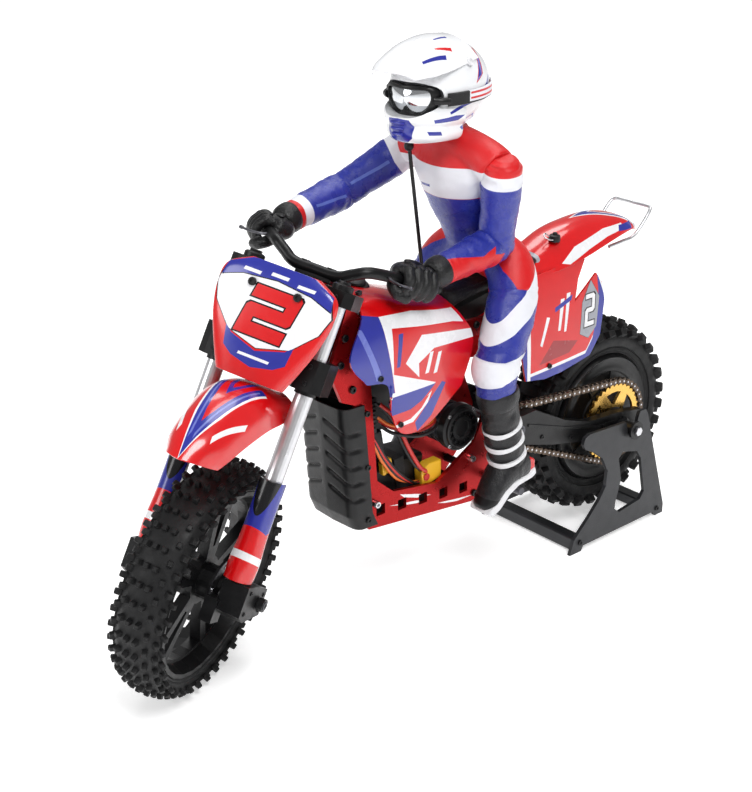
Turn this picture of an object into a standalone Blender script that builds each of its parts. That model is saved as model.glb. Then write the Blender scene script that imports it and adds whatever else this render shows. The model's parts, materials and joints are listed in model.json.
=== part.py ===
"""Radio-controlled motocross bike with its rider, held up by a two-plate display stand.

Lengths are in millimetres and become metres in at().  In the bike's own coordinates x runs
forward from the rear axle, y to the rider's left and z up from the ground.  ORIGIN_X and
ORIGIN_Y move that frame so that the model's origin is under the middle of its box.
Steered parts are drawn straight ahead in fork coordinates (n forward of the front axle,
across the fork; y left; t up along the fork) and turned together by the steering empty.
"""
import math

import bmesh
import bpy
from mathutils import Matrix, Quaternion, Vector

# ---------------------------------------------------------------- driving dimensions
MM = 0.001
ORIGIN_X = -189.3
ORIGIN_Y = 9.8

WHEELBASE = 380.0
RAKE = math.radians(27.6)
STEER_REST = math.radians(27.0)
STEER_AXIS_SETBACK = 8.0

FRONT_TYRE_R = 82.1
FRONT_AXLE_Z = 82.3
FRONT_TYRE_HALF = 19.3
FRONT_RIM_R = 65.0
FRONT_RIM_HALF = 13.7
REAR_TYRE_R = 79.6
REAR_TYRE_HALF = 20.7
REAR_RIM_R = 52.0
REAR_AXLE_Z = 88.6

FORK_Y = 32.0
FORK_N = 17.7
FORK_TUBE_R = 6.0
FORK_SLIDER_R = 3.8

PIVOT_X = 118.0
PIVOT_Z = 119.0
CHAIN_Y = 27.5
CHAIN_WIDTH = 5.0
CHAIN_DEPTH = 3.2
REAR_SPROCKET_R = 31.6
REAR_SPROCKET_TEETH = 36
DRIVE_SPROCKET_R = 11.6
DRIVE_SPROCKET_TEETH = 12
SPROCKET_THICKNESS = 2.4

SHAFT_HOLE_R = 3.4
FRAME_Y = 22.5
FRAME_THICKNESS = 3.0
ARM_Y = 34.5
ARM_THICKNESS = 7.0
STAND_Y = 47.5
STAND_THICKNESS = 3.0
BOBBIN_R = 5.0
BOBBIN_SLOT_R = 5.4

SHOCK_X = 97.0
SHOCK_TOP_Z = 211.0
SHOCK_LOW_Z = 134.0

SHOULDER = (150.0, 47.0, 321.0)
ELBOW_LEFT = (142.5, 34.8, 266.5)
ELBOW_RIGHT = (189.7, -73.3, 290.7)
GRIP = (238.5, 56.5, 265.0)
WRIST_GAP = 21.5
NECK = (158.0, 0.0, 342.0)
FOOTPEG = (134.0, 82.0)
ELBOW_CUP_R = 18.5

SERVO_HORN = (238.0, 0.0, 207.8)
HEAD_ROD_FOOT = (178.0, -1.0, 243.0)
HEAD_ROD_TOP = (190.0, -2.0, 337.2)
HEAD_CENTRE = (165.0, 0.0, 372.5)
HEAD_TURN = math.radians(10.0)
MOTOR_CENTRE = (164.0, 131.0)
BATTERY_TILT = -0.11
TAIL_PANEL_LEAN = math.radians(8.5)
LEAD_ROUTE = [(236, 19.4, 168), (228, 25, 158), (217, 26, 134), (205, 25, 114), (196, 22, 106), (193, 18, 103)]
SENSOR_ROUTE = [(236, 19.4, 152), (230, 27, 147), (212, 31, 141), (196, 28, 139), (186, 22, 138)]
SENSOR_ROUTE += [(180.4, 16, 137)]
LEAD_STEPS = 22

GAP = 0.4
SIDES = (("left", 1), ("right", -1))

COLOURS = {
    "painted_steel": ((0.13, 0.13, 0.135), 0.45, 0.6),
    "red_anodised": ((0.55, 0.02, 0.02), 0.35, 0.8),
    "black_plastic": ((0.02, 0.02, 0.022), 0.5, 0.0),
    "red_plastic": ((0.75, 0.02, 0.02), 0.3, 0.0),
    "white_plastic": ((0.85, 0.85, 0.86), 0.35, 0.0),
    "blue_plastic": ((0.08, 0.1, 0.5), 0.4, 0.0),
    "yellow_plastic": ((0.9, 0.55, 0.02), 0.4, 0.0),
    "rubber": ((0.025, 0.025, 0.025), 0.8, 0.0),
    "steel": ((0.6, 0.6, 0.6), 0.3, 1.0),
    "dark_steel": ((0.12, 0.12, 0.12), 0.35, 0.9),
    "gold": ((0.72, 0.45, 0.12), 0.3, 1.0),
    "red_cable": ((0.6, 0.03, 0.02), 0.5, 0.0),
    "lens": ((0.6, 0.62, 0.65), 0.1, 1.0),
}


# ---------------------------------------------------------------- frames of reference
def at(x, y, z):
    """A place in bike coordinates as a vector in metres in the model's frame."""
    return Vector((x + ORIGIN_X, y + ORIGIN_Y, z)) * MM


UP_FORK = Vector((-math.sin(RAKE), 0.0, math.cos(RAKE)))
AHEAD = Vector((math.cos(RAKE), 0.0, math.sin(RAKE)))
LEFT = Vector((0.0, 1.0, 0.0))
FRONT_AXLE = at(WHEELBASE, 0.0, FRONT_AXLE_Z)
SIDE_VIEW = Matrix(((1, 0, 0), (0, 0, -1), (0, 1, 0))).to_4x4()
ACROSS_FORK = Matrix((AHEAD, LEFT, UP_FORK)).transposed().to_4x4()
FACING_AHEAD = Matrix((LEFT, UP_FORK, AHEAD)).transposed().to_4x4()
SPIN_ON_Y = Matrix(((1, 0, 0), (0, 0, 1), (0, -1, 0))).to_4x4()


def fork(n, y, t):
    """A place in fork coordinates, before steering, in metres."""
    return FRONT_AXLE + (AHEAD * n + LEFT * y + UP_FORK * t) * MM


STEER_POINT = fork(-STEER_AXIS_SETBACK, 0.0, 0.0)


def arc(centre, radius, start, end, steps):
    """Points of an arc in a flat outline, angles in degrees."""
    points = []
    for i in range(steps + 1):
        angle = math.radians(start + (end - start) * i / steps)
        points.append((centre[0] + radius * math.cos(angle), centre[1] + radius * math.sin(angle)))
    return points


def circle(centre, radius, steps):
    return arc(centre, radius, 0.0, 360.0 * (steps - 1) / steps, steps - 1)


# ---------------------------------------------------------------- scene bookkeeping
def clear_scene():
    for old in list(bpy.data.objects):
        bpy.data.objects.remove(old)
    for old in list(bpy.data.collections):
        bpy.data.collections.remove(old)


clear_scene()
PARTS = bpy.data.collections.new("motocross_bike")
CUTTERS = bpy.data.collections.new("cutters")
bpy.context.scene.collection.children.link(PARTS)
bpy.context.scene.collection.children.link(CUTTERS)
EMPTIES = {}


def material(kind):
    found = bpy.data.materials.get(kind)
    if found:
        return found
    colour, roughness, metallic = COLOURS[kind]
    made = bpy.data.materials.new(kind)
    made.use_nodes = True
    shader = made.node_tree.nodes["Principled BSDF"]
    shader.inputs["Base Color"].default_value = (*colour, 1.0)
    shader.inputs["Roughness"].default_value = roughness
    shader.inputs["Metallic"].default_value = metallic
    return made


def joint_empty(name, location, parent=None):
    """An empty on a joint's axis.  Its children keep the places they were drawn in."""
    empty = bpy.data.objects.new(name, None)
    empty.empty_display_size = 0.01
    PARTS.objects.link(empty)
    empty.location = location
    EMPTIES[name] = (empty, location)
    if parent:
        ride(empty, parent)
    return empty


def ride(thing, joint):
    empty, location = EMPTIES[joint]
    thing.parent = empty
    thing.matrix_parent_inverse = Matrix.Translation(location).inverted()


def finish(thing, kind, joint):
    thing.data.materials.clear()
    thing.data.materials.append(material(kind))
    ride(thing, joint)
    return thing


def as_cutter(thing, joint):
    """Hide a cutter or a joined piece, which the build then leaves out."""
    for collection in list(thing.users_collection):
        collection.objects.unlink(thing)
    CUTTERS.objects.link(thing)
    thing.hide_render = True
    thing.display_type = "WIRE"
    ride(thing, joint)


def combine(base, tools, operation, joint):
    for tool in tools:
        as_cutter(tool, joint)
        boolean = base.modifiers.new(operation.lower(), "BOOLEAN")
        boolean.operation = operation
        boolean.solver = "EXACT"
        boolean.object = tool
    return base


# ---------------------------------------------------------------- shape makers
def from_bmesh(name, bm, matrix):
    mesh = bpy.data.meshes.new(name)
    bm.to_mesh(mesh)
    bm.free()
    thing = bpy.data.objects.new(name, mesh)
    PARTS.objects.link(thing)
    thing.matrix_world = matrix
    return thing


def round_off(thing, width, segments=1):
    bevel = thing.modifiers.new("bevel", "BEVEL")
    bevel.width = width * MM
    bevel.segments = segments
    bevel.limit_method = "ANGLE"
    return thing


def smooth(thing):
    thing.data.shade_smooth()
    thing.data.set_sharp_from_angle(angle=math.radians(40.0))
    return thing


def box(name, size, centre, turn=None):
    bm = bmesh.new()
    bmesh.ops.create_cube(bm, size=1.0)
    bmesh.ops.scale(bm, vec=Vector(size) * MM, verts=bm.verts)
    matrix = Matrix.Translation(centre)
    if turn is not None:
        matrix = matrix @ turn
    return from_bmesh(name, bm, matrix)


def cylinder(name, radius, start, end, sides=20, end_radius=None):
    axis = end - start
    bm = bmesh.new()
    bmesh.ops.create_cone(
        bm,
        cap_ends=True,
        segments=sides,
        radius1=radius * MM,
        radius2=(radius if end_radius is None else end_radius) * MM,
        depth=axis.length,
    )
    turn = Vector((0, 0, 1)).rotation_difference(axis).to_matrix().to_4x4()
    return smooth(from_bmesh(name, bm, Matrix.Translation((start + end) / 2) @ turn))


def ball(name, radii, centre, turn=None, segments=14, rings=9):
    bm = bmesh.new()
    bmesh.ops.create_uvsphere(bm, u_segments=segments, v_segments=rings, radius=1.0)
    bmesh.ops.scale(bm, vec=Vector(radii) * MM, verts=bm.verts)
    matrix = Matrix.Translation(centre)
    if turn is not None:
        matrix = matrix @ turn
    return smooth(from_bmesh(name, bm, matrix))


def turned(name, profile, centre, steps):
    """A ring turned about y.  The closed profile is (radius, y), outer side first, right to left."""
    mesh = bpy.data.meshes.new(name)
    points = [(radius * MM, 0.0, y * MM) for radius, y in profile]
    edges = [(i, (i + 1) % len(points)) for i in range(len(points))]
    mesh.from_pydata(points, edges, [])
    thing = bpy.data.objects.new(name, mesh)
    PARTS.objects.link(thing)
    thing.matrix_world = Matrix.Translation(centre) @ SPIN_ON_Y
    screw = thing.modifiers.new("screw", "SCREW")
    screw.axis = "Z"
    screw.steps = steps
    screw.render_steps = steps
    screw.use_merge_vertices = True
    screw.merge_threshold = 0.00001
    screw.use_smooth_shade = True
    return thing


def slab(name, loops, thickness, matrix):
    """A flat outline with holes, extruded both ways.  loops[0] is the outside."""
    curve = bpy.data.curves.new(name, "CURVE")
    curve.dimensions = "2D"
    curve.fill_mode = "BOTH"
    curve.extrude = thickness / 2 * MM
    for loop in loops:
        spline = curve.splines.new("POLY")
        spline.points.add(len(loop) - 1)
        spline.use_cyclic_u = True
        for place, (u, v) in zip(spline.points, loop):
            place.co = (u * MM, v * MM, 0.0, 1.0)
    thing = bpy.data.objects.new(name, curve)
    PARTS.objects.link(thing)
    thing.matrix_world = matrix
    return as_mesh(thing)


def side_slab(name, loops, y, thickness):
    return slab(name, loops, thickness, Matrix.Translation(at(0.0, y, 0.0)) @ SIDE_VIEW)


def wire(name, points, radius, closed=False):
    curve = bpy.data.curves.new(name, "CURVE")
    curve.dimensions = "3D"
    curve.bevel_depth = radius * MM
    curve.bevel_resolution = 2
    curve.use_fill_caps = True
    curve.resolution_u = 1
    spline = curve.splines.new("POLY")
    spline.points.add(len(points) - 1)
    spline.use_cyclic_u = closed
    for place, point in zip(spline.points, points):
        place.co = (*point, 1.0)
    thing = bpy.data.objects.new(name, curve)
    PARTS.objects.link(thing)
    return as_mesh(thing)


def as_mesh(thing):
    """Make a curve a mesh with welded caps, so that it can be cut, joined and measured."""
    bpy.context.view_layer.update()
    graph = bpy.context.evaluated_depsgraph_get()
    mesh = bpy.data.meshes.new_from_object(thing.evaluated_get(graph))
    bm = bmesh.new()
    bm.from_mesh(mesh)
    bmesh.ops.remove_doubles(bm, verts=bm.verts, dist=0.000001)
    bm.to_mesh(mesh)
    bm.free()
    solid = bpy.data.objects.new(thing.name + "_mesh", mesh)
    PARTS.objects.link(solid)
    solid.matrix_world = thing.matrix_world.copy()
    name = thing.name
    bpy.data.objects.remove(thing)
    solid.name = name
    return smooth(solid)


def smooth_route(points, count):
    """Evenly spaced points on a smooth curve through the given ones."""
    ends = [points[0] * 2 - points[1]] + list(points) + [points[-1] * 2 - points[-2]]
    route = []
    for i in range(count + 1):
        place = i / count * (len(points) - 1)
        j = min(int(place), len(points) - 2)
        u = place - j
        a, b, c, d = ends[j : j + 4]
        route.append(
            ((b * 2) + (c - a) * u + (a * 2 - b * 5 + c * 4 - d) * u**2 + (b * 3 - a - c * 3 + d) * u**3)
            / 2
        )
    return route


def loft(name, rings):
    """A closed body through rings of equally many points, with flat ends."""
    bm = bmesh.new()
    rows = [[bm.verts.new(point) for point in ring] for ring in rings]
    count = len(rows[0])
    for low, high in zip(rows, rows[1:]):
        for i in range(count):
            j = (i + 1) % count
            bm.faces.new((low[i], low[j], high[j], high[i]))
    bm.faces.new(reversed(rows[0]))
    bm.faces.new(rows[-1])
    bmesh.ops.recalc_face_normals(bm, faces=bm.faces)
    return smooth(from_bmesh(name, bm, Matrix()))


def limb(name, stations, sides=12):
    """A soft tube: each station is (x, y, z, half width across, half depth)."""
    centres = [at(*station[:3]) for station in stations]
    rings = []
    for i, (centre, station) in enumerate(zip(centres, stations)):
        ahead = centres[min(i + 1, len(centres) - 1)] - centres[max(i - 1, 0)]
        ahead.normalize()
        across = (LEFT - ahead * LEFT.dot(ahead)).normalized()
        deep = ahead.cross(across)
        ring = []
        for j in range(sides):
            angle = 2 * math.pi * j / sides
            ring.append(
                centre
                + across * (station[3] * MM * math.cos(angle))
                + deep * (station[4] * MM * math.sin(angle))
            )
        rings.append(ring)
    return loft(name, rings)


def half_shell(name, rows, thickness):
    """A thin moulded cover.  Each row runs from the centre plane out to the left edge."""
    bm = bmesh.new()
    grid = [[bm.verts.new(Vector(point) * MM) for point in row] for row in rows]
    for low, high in zip(grid, grid[1:]):
        for i in range(len(low) - 1):
            bm.faces.new((low[i], high[i], high[i + 1], low[i + 1]))
    thing = smooth(from_bmesh(name, bm, Matrix.Translation(at(0.0, 0.0, 0.0))))
    mirror = thing.modifiers.new("mirror", "MIRROR")
    mirror.use_axis = (False, True, False)
    mirror.merge_threshold = 0.00001
    solidify = thing.modifiers.new("solidify", "SOLIDIFY")
    solidify.thickness = thickness * MM
    solidify.offset = -1.0
    solidify.use_even_offset = True
    return thing


# ---------------------------------------------------------------- joints' empties
def make_joint_empties():
    joint_empty("stand_base", at(0.0, 0.0, 0.0))
    joint_empty("lift_off", at(0.0, 0.0, REAR_AXLE_Z))
    joint_empty("steering", STEER_POINT, "lift_off")
    joint_empty("fork_travel", fork(0.0, 0.0, 0.0), "steering")
    joint_empty("front_wheel_spin", FRONT_AXLE, "fork_travel")
    joint_empty("swingarm_pivot", at(PIVOT_X, 0.0, PIVOT_Z), "lift_off")
    joint_empty("rear_wheel_spin", at(0.0, 0.0, REAR_AXLE_Z), "swingarm_pivot")
    joint_empty("gyro_spin", at(0.0, 0.0, REAR_AXLE_Z), "swingarm_pivot")
    joint_empty("drive_sprocket_spin", at(PIVOT_X, 0.0, PIVOT_Z), "lift_off")
    joint_empty("shock_tilt", at(SHOCK_X, 0.0, SHOCK_TOP_Z), "lift_off")
    joint_empty("shock_slide", at(SHOCK_X, 0.0, SHOCK_LOW_Z), "shock_tilt")
    joint_empty("servo_horn_turn", at(*SERVO_HORN), "lift_off")
    joint_empty("head_turn", at(*NECK), "lift_off")
    joint_empty("head_rod_tilt", at(*HEAD_ROD_FOOT), "lift_off")
    for side, sign in SIDES:
        elbow = ELBOW_LEFT if sign > 0 else ELBOW_RIGHT
        joint_empty(f"shoulder_{side}", at(SHOULDER[0], sign * SHOULDER[1], SHOULDER[2]), "lift_off")
        joint_empty(f"elbow_{side}", at(*elbow), f"shoulder_{side}")


# ---------------------------------------------------------------- display stand
def stand_plates():
    slot = (
        [(7.5, 96.5), (6.0, 92.0)]
        + arc((0.0, REAR_AXLE_Z), BOBBIN_SLOT_R, 0.0, -180.0, 8)
        + [(-6.0, 92.0), (-7.5, 98.0)]
    )
    outline = (
        [(52.0, 4.0), (54.0, 0.0), (67.0, 0.0), (63.0, 12.0)]
        + [(46.0, 27.0), (35.0, 38.0), (28.0, 48.0), (27.0, 61.0), (34.0, 74.0), (46.0, 83.0)]
        + [(54.0, 87.0), (57.0, 92.0), (55.0, 97.0), (50.0, 99.0)]
        + slot
        + [(-9.0, 101.0), (-16.0, 101.0), (-19.0, 96.0), (-25.0, 76.0), (-46.0, 8.0)]
        + [(-46.0, 0.0), (-36.0, 0.0), (-34.0, 4.0)]
    )
    window = [(10.0, 72.0), (-8.0, 67.0), (-13.0, 60.0), (-20.0, 28.0), (-15.0, 22.0)]
    window += [(10.0, 19.0), (16.0, 24.0), (15.0, 31.0), (10.0, 48.0), (14.0, 67.0)]
    for side, sign in SIDES:
        plate = side_slab(f"stand_plate_{side}", [outline, window], sign * STAND_Y, STAND_THICKNESS)
        finish(plate, "painted_steel", "stand_base")


def stand_bars():
    length = 2 * (STAND_Y - STAND_THICKNESS / 2 - GAP)
    for name, x, height in (("stand_bar_front", 56.0, 11.0), ("stand_bar_rear", -38.0, 9.0)):
        bar = box(name, (11.0, length, height), at(x, 0.0, 1.0 + height / 2))
        finish(round_off(bar, 1.0), "painted_steel", "stand_base")


# ---------------------------------------------------------------- rear end
def tyre(name, outer, half, seat, seat_half, centre, joint):
    left_side = [(seat + 0.4, seat_half), (seat + 6.0, half * 0.93), (outer - 10.0, half)]
    crown = [(outer - 3.0, half * 0.82), (outer, half * 0.42)]
    rising = left_side + crown
    profile = rising + [(radius, -y) for radius, y in reversed(rising)]
    ring = turned(name, profile, centre, 36)
    return finish(ring, "rubber", joint)


def rear_wheel():
    """Hollow drum that houses the flywheel, open round the axle."""
    axle = at(0.0, 0.0, REAR_AXLE_Z)
    side = [(10.0, 14.0), (10.0, 16.0), (30.0, 17.0), (REAR_RIM_R - 2.0, 18.2), (REAR_RIM_R, 16.0)]
    inner = [(REAR_RIM_R - 2.5, 14.0), (30.0, 15.0)]
    profile = side + [(r, -y) for r, y in reversed(side)] + [(30.0, -15.0), (REAR_RIM_R - 2.5, -14.0)]
    profile += inner
    finish(turned("rear_wheel", profile, axle, 30), "dark_steel", "rear_wheel_spin")
    tyre("rear_tyre", REAR_TYRE_R, REAR_TYRE_HALF, REAR_RIM_R, 15.5, axle, "rear_wheel_spin")


def gyro_flywheel():
    profile = [(6.0, 11.0), (44.0, 11.0), (46.0, 9.0), (46.0, -9.0), (44.0, -11.0), (6.0, -11.0)]
    ring = turned("gyro_flywheel", profile, at(0.0, 0.0, REAR_AXLE_Z), 28)
    finish(ring, "steel", "gyro_spin")


def toothed_outline(radius, teeth, depth):
    points = []
    for i in range(teeth):
        for share, cut in ((0.0, depth), (0.4, 0.0), (0.7, 0.0)):
            angle = 2 * math.pi * (i + share) / teeth
            points.append(((radius - cut) * math.cos(angle), (radius - cut) * math.sin(angle)))
    return points


def sprocket_hole(inner, outer, centre_angle, half_angle):
    """A rounded triangle between two radii."""
    points = arc((0.0, 0.0), outer, centre_angle - half_angle, centre_angle + half_angle, 3)
    points += arc((0.0, 0.0), inner, centre_angle + 5.0, centre_angle - 5.0, 1)
    return points


def rear_sprocket():
    loops = [toothed_outline(REAR_SPROCKET_R, REAR_SPROCKET_TEETH, 2.2), circle((0.0, 0.0), 5.0, 12)]
    for i in range(6):
        loops.append(sprocket_hole(14.5, 25.0, 60.0 * i + 30.0, 20.0))
    centre = at(0.0, CHAIN_Y, REAR_AXLE_Z)
    disc = slab("rear_sprocket", loops, SPROCKET_THICKNESS, Matrix.Translation(centre) @ SIDE_VIEW)
    boss_profile = [(5.0, 26.6), (12.0, 26.6), (12.0, 16.6), (5.0, 16.6)]
    boss = turned("rear_sprocket_boss", boss_profile, at(0.0, 0.0, REAR_AXLE_Z), 20)
    combine(disc, [boss], "UNION", "rear_wheel_spin")
    finish(disc, "gold", "rear_wheel_spin")


def drive_sprocket():
    loops = [toothed_outline(DRIVE_SPROCKET_R, DRIVE_SPROCKET_TEETH, 2.2), circle((0.0, 0.0), SHAFT_HOLE_R, 12)]
    centre = at(PIVOT_X, CHAIN_Y, PIVOT_Z)
    disc = slab("drive_sprocket", loops, SPROCKET_THICKNESS, Matrix.Translation(centre) @ SIDE_VIEW)
    finish(disc, "dark_steel", "drive_sprocket_spin")


def chain_loop(clearance):
    """Belt line round both sprockets at a clearance outside their tips."""
    front = DRIVE_SPROCKET_R + clearance
    rear = REAR_SPROCKET_R + clearance
    span = Vector((PIVOT_X, PIVOT_Z - REAR_AXLE_Z))
    lean = math.degrees(math.atan2(span.y, span.x))
    wrap = math.degrees(math.asin((rear - front) / span.length))
    points = arc((PIVOT_X, PIVOT_Z), front, lean - 90.0 + wrap, lean + 90.0 - wrap, 8)
    points += arc((0.0, REAR_AXLE_Z), rear, lean + 90.0 - wrap, lean + 270.0 + wrap, 20)
    return points


def drive_chain():
    loops = [chain_loop(GAP + CHAIN_DEPTH), chain_loop(GAP)]
    finish(side_slab("drive_chain", loops, CHAIN_Y, CHAIN_WIDTH), "dark_steel", "swingarm_pivot")


def swingarm():
    """Two box arms outside the chain, joined by a bridge between the wheel and the pivot."""
    outline = arc((PIVOT_X, PIVOT_Z), 11.0, -70.0, 110.0, 6)
    outline += [(100.0, 130.0), (66.0, 112.0), (40.0, 103.0), (4.0, 100.5), (-24.0, 95.5)]
    outline += [(-27.0, 86.0), (-20.0, 80.5), (10.0, 80.5), (30.0, 84.0), (44.0, 88.0), (80.0, 96.0)]
    holes = [circle((PIVOT_X, PIVOT_Z), SHAFT_HOLE_R, 12), circle((0.0, REAR_AXLE_Z), 4.4, 12)]
    arms = []
    for side, sign in SIDES:
        arms.append(side_slab(f"swingarm_{side}", [outline] + holes, sign * ARM_Y, ARM_THICKNESS))
    bridge = box("swingarm_bridge", (13.0, 2 * ARM_Y, 13.0), at(93.0, 0.0, 116.5))
    base = arms[0]
    base.name = "swingarm"
    combine(base, [bridge, arms[1]], "UNION", "swingarm_pivot")
    finish(base, "black_plastic", "swingarm_pivot")


def rear_axle():
    """One turned bar: hub collars inside the wheel, and a bobbin past each arm."""
    half = [(9.5, 13.0), (9.5, 15.8), (4.0, 15.8), (4.0, 38.6), (7.0, 38.6), (7.0, 40.6)]
    half += [(BOBBIN_R, 41.6), (BOBBIN_R, 51.0), (7.5, 52.0), (7.5, 54.0)]
    profile = [(0.0, 54.0)] + half[::-1] + [(4.0, 13.0), (4.0, -13.0)]
    profile += [(r, -y) for r, y in half] + [(0.0, -54.0)]
    bar = turned_bar("rear_axle", profile, at(0.0, 0.0, REAR_AXLE_Z), 12)
    finish(bar, "steel", "swingarm_pivot")


def turned_bar(name, profile, centre, steps):
    """A solid bar turned about y.  The profile starts and ends on the axis, left end first."""
    mesh = bpy.data.meshes.new(name)
    points = [(radius * MM, 0.0, y * MM) for radius, y in profile]
    mesh.from_pydata(points, [(i, i + 1) for i in range(len(points) - 1)], [])
    thing = bpy.data.objects.new(name, mesh)
    PARTS.objects.link(thing)
    thing.matrix_world = Matrix.Translation(centre) @ SPIN_ON_Y
    screw = thing.modifiers.new("screw", "SCREW")
    screw.axis = "Z"
    screw.steps = steps
    screw.render_steps = steps
    screw.use_merge_vertices = True
    screw.merge_threshold = 0.00001
    return thing


def pivot_shaft():
    profile = [(0.0, 40.5), (5.0, 40.5), (5.0, 38.6), (3.0, 38.6)]
    profile += [(r, -y) for r, y in reversed(profile)]
    bar = turned_bar("pivot_shaft", profile, at(PIVOT_X, 0.0, PIVOT_Z), 12)
    finish(bar, "steel", "lift_off")


def shock():
    top = at(SHOCK_X, 0.0, SHOCK_TOP_Z)
    body = cylinder("shock_body", 7.0, at(SHOCK_X, 0.0, SHOCK_TOP_Z - 2.0), at(SHOCK_X, 0.0, 164.0), 16)
    eye = cylinder("shock_eye_top", 5.0, top + LEFT * 0.004, top - LEFT * 0.004, 12)
    bore = cylinder("shock_bore", 3.4, at(SHOCK_X, 0.0, 160.0), at(SHOCK_X, 0.0, 195.0), 12)
    perch = cylinder("shock_perch", 10.5, at(SHOCK_X, 0.0, 192.0), at(SHOCK_X, 0.0, 194.5), 16)
    combine(body, [eye, perch], "UNION", "shock_tilt")
    combine(body, [bore], "DIFFERENCE", "shock_tilt")
    finish(body, "steel", "shock_tilt")
    rod = cylinder("shock_rod", 3.0, at(SHOCK_X, 0.0, SHOCK_LOW_Z - 1.0), at(SHOCK_X, 0.0, 180.0), 12)
    low = at(SHOCK_X, 0.0, SHOCK_LOW_Z)
    foot = cylinder("shock_eye_low", 4.5, low + LEFT * 0.004, low - LEFT * 0.004, 12)
    cup = cylinder("shock_cup", 9.5, at(SHOCK_X, 0.0, 140.0), at(SHOCK_X, 0.0, 142.0), 16)
    combine(rod, [foot, cup], "UNION", "shock_slide")
    finish(rod, "steel", "shock_slide")
    turns, per_turn, radius = 5, 8, 8.9
    route = []
    for i in range(turns * per_turn + 1):
        angle = 2 * math.pi * i / per_turn
        height = 144.0 + 46.0 * i / (turns * per_turn)
        route.append(at(SHOCK_X + radius * math.cos(angle), radius * math.sin(angle), height))
    finish(wire("shock_spring", route, 1.2), "red_anodised", "shock_slide")


# ---------------------------------------------------------------- frame and its contents
def frame_plates():
    outline = [(248.0, 232.0), (260.5, 241.0), (262.8, 250.5), (266.0, 250.5), (283.0, 205.0), (273.0, 181.0)]
    outline += [(262.0, 176.0), (258.0, 120.0), (256.0, 86.0), (251.0, 79.0), (152.0, 67.5), (136.0, 71.0)]
    outline += [(116.0, 92.0), (107.0, 112.0)]
    outline += arc((PIVOT_X, PIVOT_Z), 11.0, 200.0, 140.0, 2)
    outline += [(118.0, 150.0), (112.0, 196.0), (118.0, 208.0), (200.0, 214.0), (240.0, 226.0)]
    window = [(243.0, 114.0), (228.0, 101.0), (186.0, 94.0), (150.0, 114.0), (138.0, 138.0)]
    window += [(126.0, 192.0), (132.0, 196.0), (200.0, 202.0), (238.0, 210.0), (248.0, 190.0)]
    loops = [outline, window, circle((PIVOT_X, PIVOT_Z), SHAFT_HOLE_R, 12), circle(FOOTPEG, SHAFT_HOLE_R, 12)]
    for i in range(5):
        x = 160.0 + 20.0 * i
        z = 80.0 + 0.115 * (x - 150.0)
        loops.append([(x - 4.0, z - 3.5), (x - 4.0, z + 4.5), (x + 4.0, z + 4.5), (x + 4.0, z - 3.5)])
    for side, sign in SIDES:
        plate = side_slab(f"frame_plate_{side}", loops, sign * FRAME_Y, FRAME_THICKNESS)
        finish(plate, "red_anodised", "lift_off")


def backbone():
    """Spine under tank, seat and tail, with the head tube on its front end."""
    outline = [(288.0, 228.0), (284.0, 240.0), (264.0, 238.0), (230.0, 226.0), (168.0, 211.0), (114.0, 221.0)]
    outline += [(76.0, 226.0), (0.0, 243.0), (-12.0, 241.0), (-8.0, 236.0), (60.0, 221.0)]
    outline += [(84.0, 212.0), (110.0, 209.0), (146.0, 200.0), (205.0, 203.0), (276.0, 215.0)]
    spine = side_slab("backbone", [outline], 0.0, 16.0)
    low = fork(-STEER_AXIS_SETBACK, 0.0, 163.0)
    high = fork(-STEER_AXIS_SETBACK, 0.0, 196.0)
    tube = cylinder("head_tube", 9.0, low, high, 20)
    reach = UP_FORK * 0.01
    bore = cylinder("head_bore", 4.6, low - reach, high + reach, 16)
    fork_well = box("shock_slot", (22.0, 10.0, 30.0), at(SHOCK_X, 0.0, 209.0))
    combine(spine, [tube], "UNION", "lift_off")
    combine(spine, [bore, fork_well], "DIFFERENCE", "lift_off")
    finish(spine, "black_plastic", "lift_off")


def skid_tray():
    outline = [(257.0, 84.5), (254.0, 80.6), (153.0, 69.0), (140.0, 71.5), (143.0, 76.0), (153.0, 73.0)]
    outline += [(252.0, 84.5)]
    width = 2 * (FRAME_Y - FRAME_THICKNESS / 2 - GAP)
    finish(side_slab("skid_tray", [outline], 0.0, width), "black_plastic", "lift_off")


def radiator_guard():
    """Wrap-round front guard ahead of the frame plates' edges."""
    rows = []
    sections = ((82.0, 262.5, 26.5), (92.0, 267.0, 26.5), (150.0, 270.0, 26.5), (175.0, 274.0, 26.0))
    for z, front, half in sections:
        back = front - 18.0
        rows.append([(front + 1.0, 0, z), (front, half - 8, z), (front - 5, half - 1, z), (back, half, z)])
    finish(half_shell("radiator_guard", rows, 1.6), "black_plastic", "lift_off")


def tank_shroud():
    """Tank cover and side shrouds moulded as one shell, open below and behind."""
    rows = [
        [(257, 0, 252.5), (256, 14, 251.5), (260, 30, 239), (276, 37, 214), (263, 38, 195)],
        [(244, 0, 250.5), (244, 15, 249), (245, 32, 236), (256, 38, 212), (246, 39, 190)],
        [(228, 0, 247), (228, 16, 245), (228, 33, 234), (238, 39, 205), (243, 40, 168)],
        [(212, 0, 242), (212, 17, 240), (212, 34, 231), (218, 39, 200), (233, 40, 152)],
        [(194, 0, 237), (194, 17, 235), (194, 33, 227), (196, 38, 196), (209, 39, 152)],
        [(177, 0, 233), (177, 16, 231), (173, 31, 219), (168, 35, 196), (185, 36, 167)],
    ]
    finish(half_shell("tank_shroud", rows, 1.4), "red_plastic", "lift_off")


def seat():
    outline = [(172.0, 226.0), (170.0, 238.0), (150.0, 236.5), (110.0, 235.0), (80.0, 239.0)]
    outline += [(76.0, 233.0), (96.0, 227.0), (116.0, 227.5), (168.0, 214.0)]
    cushion = side_slab("seat", [outline], 0.0, 37.0)
    finish(cushion, "black_plastic", "lift_off")


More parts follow.
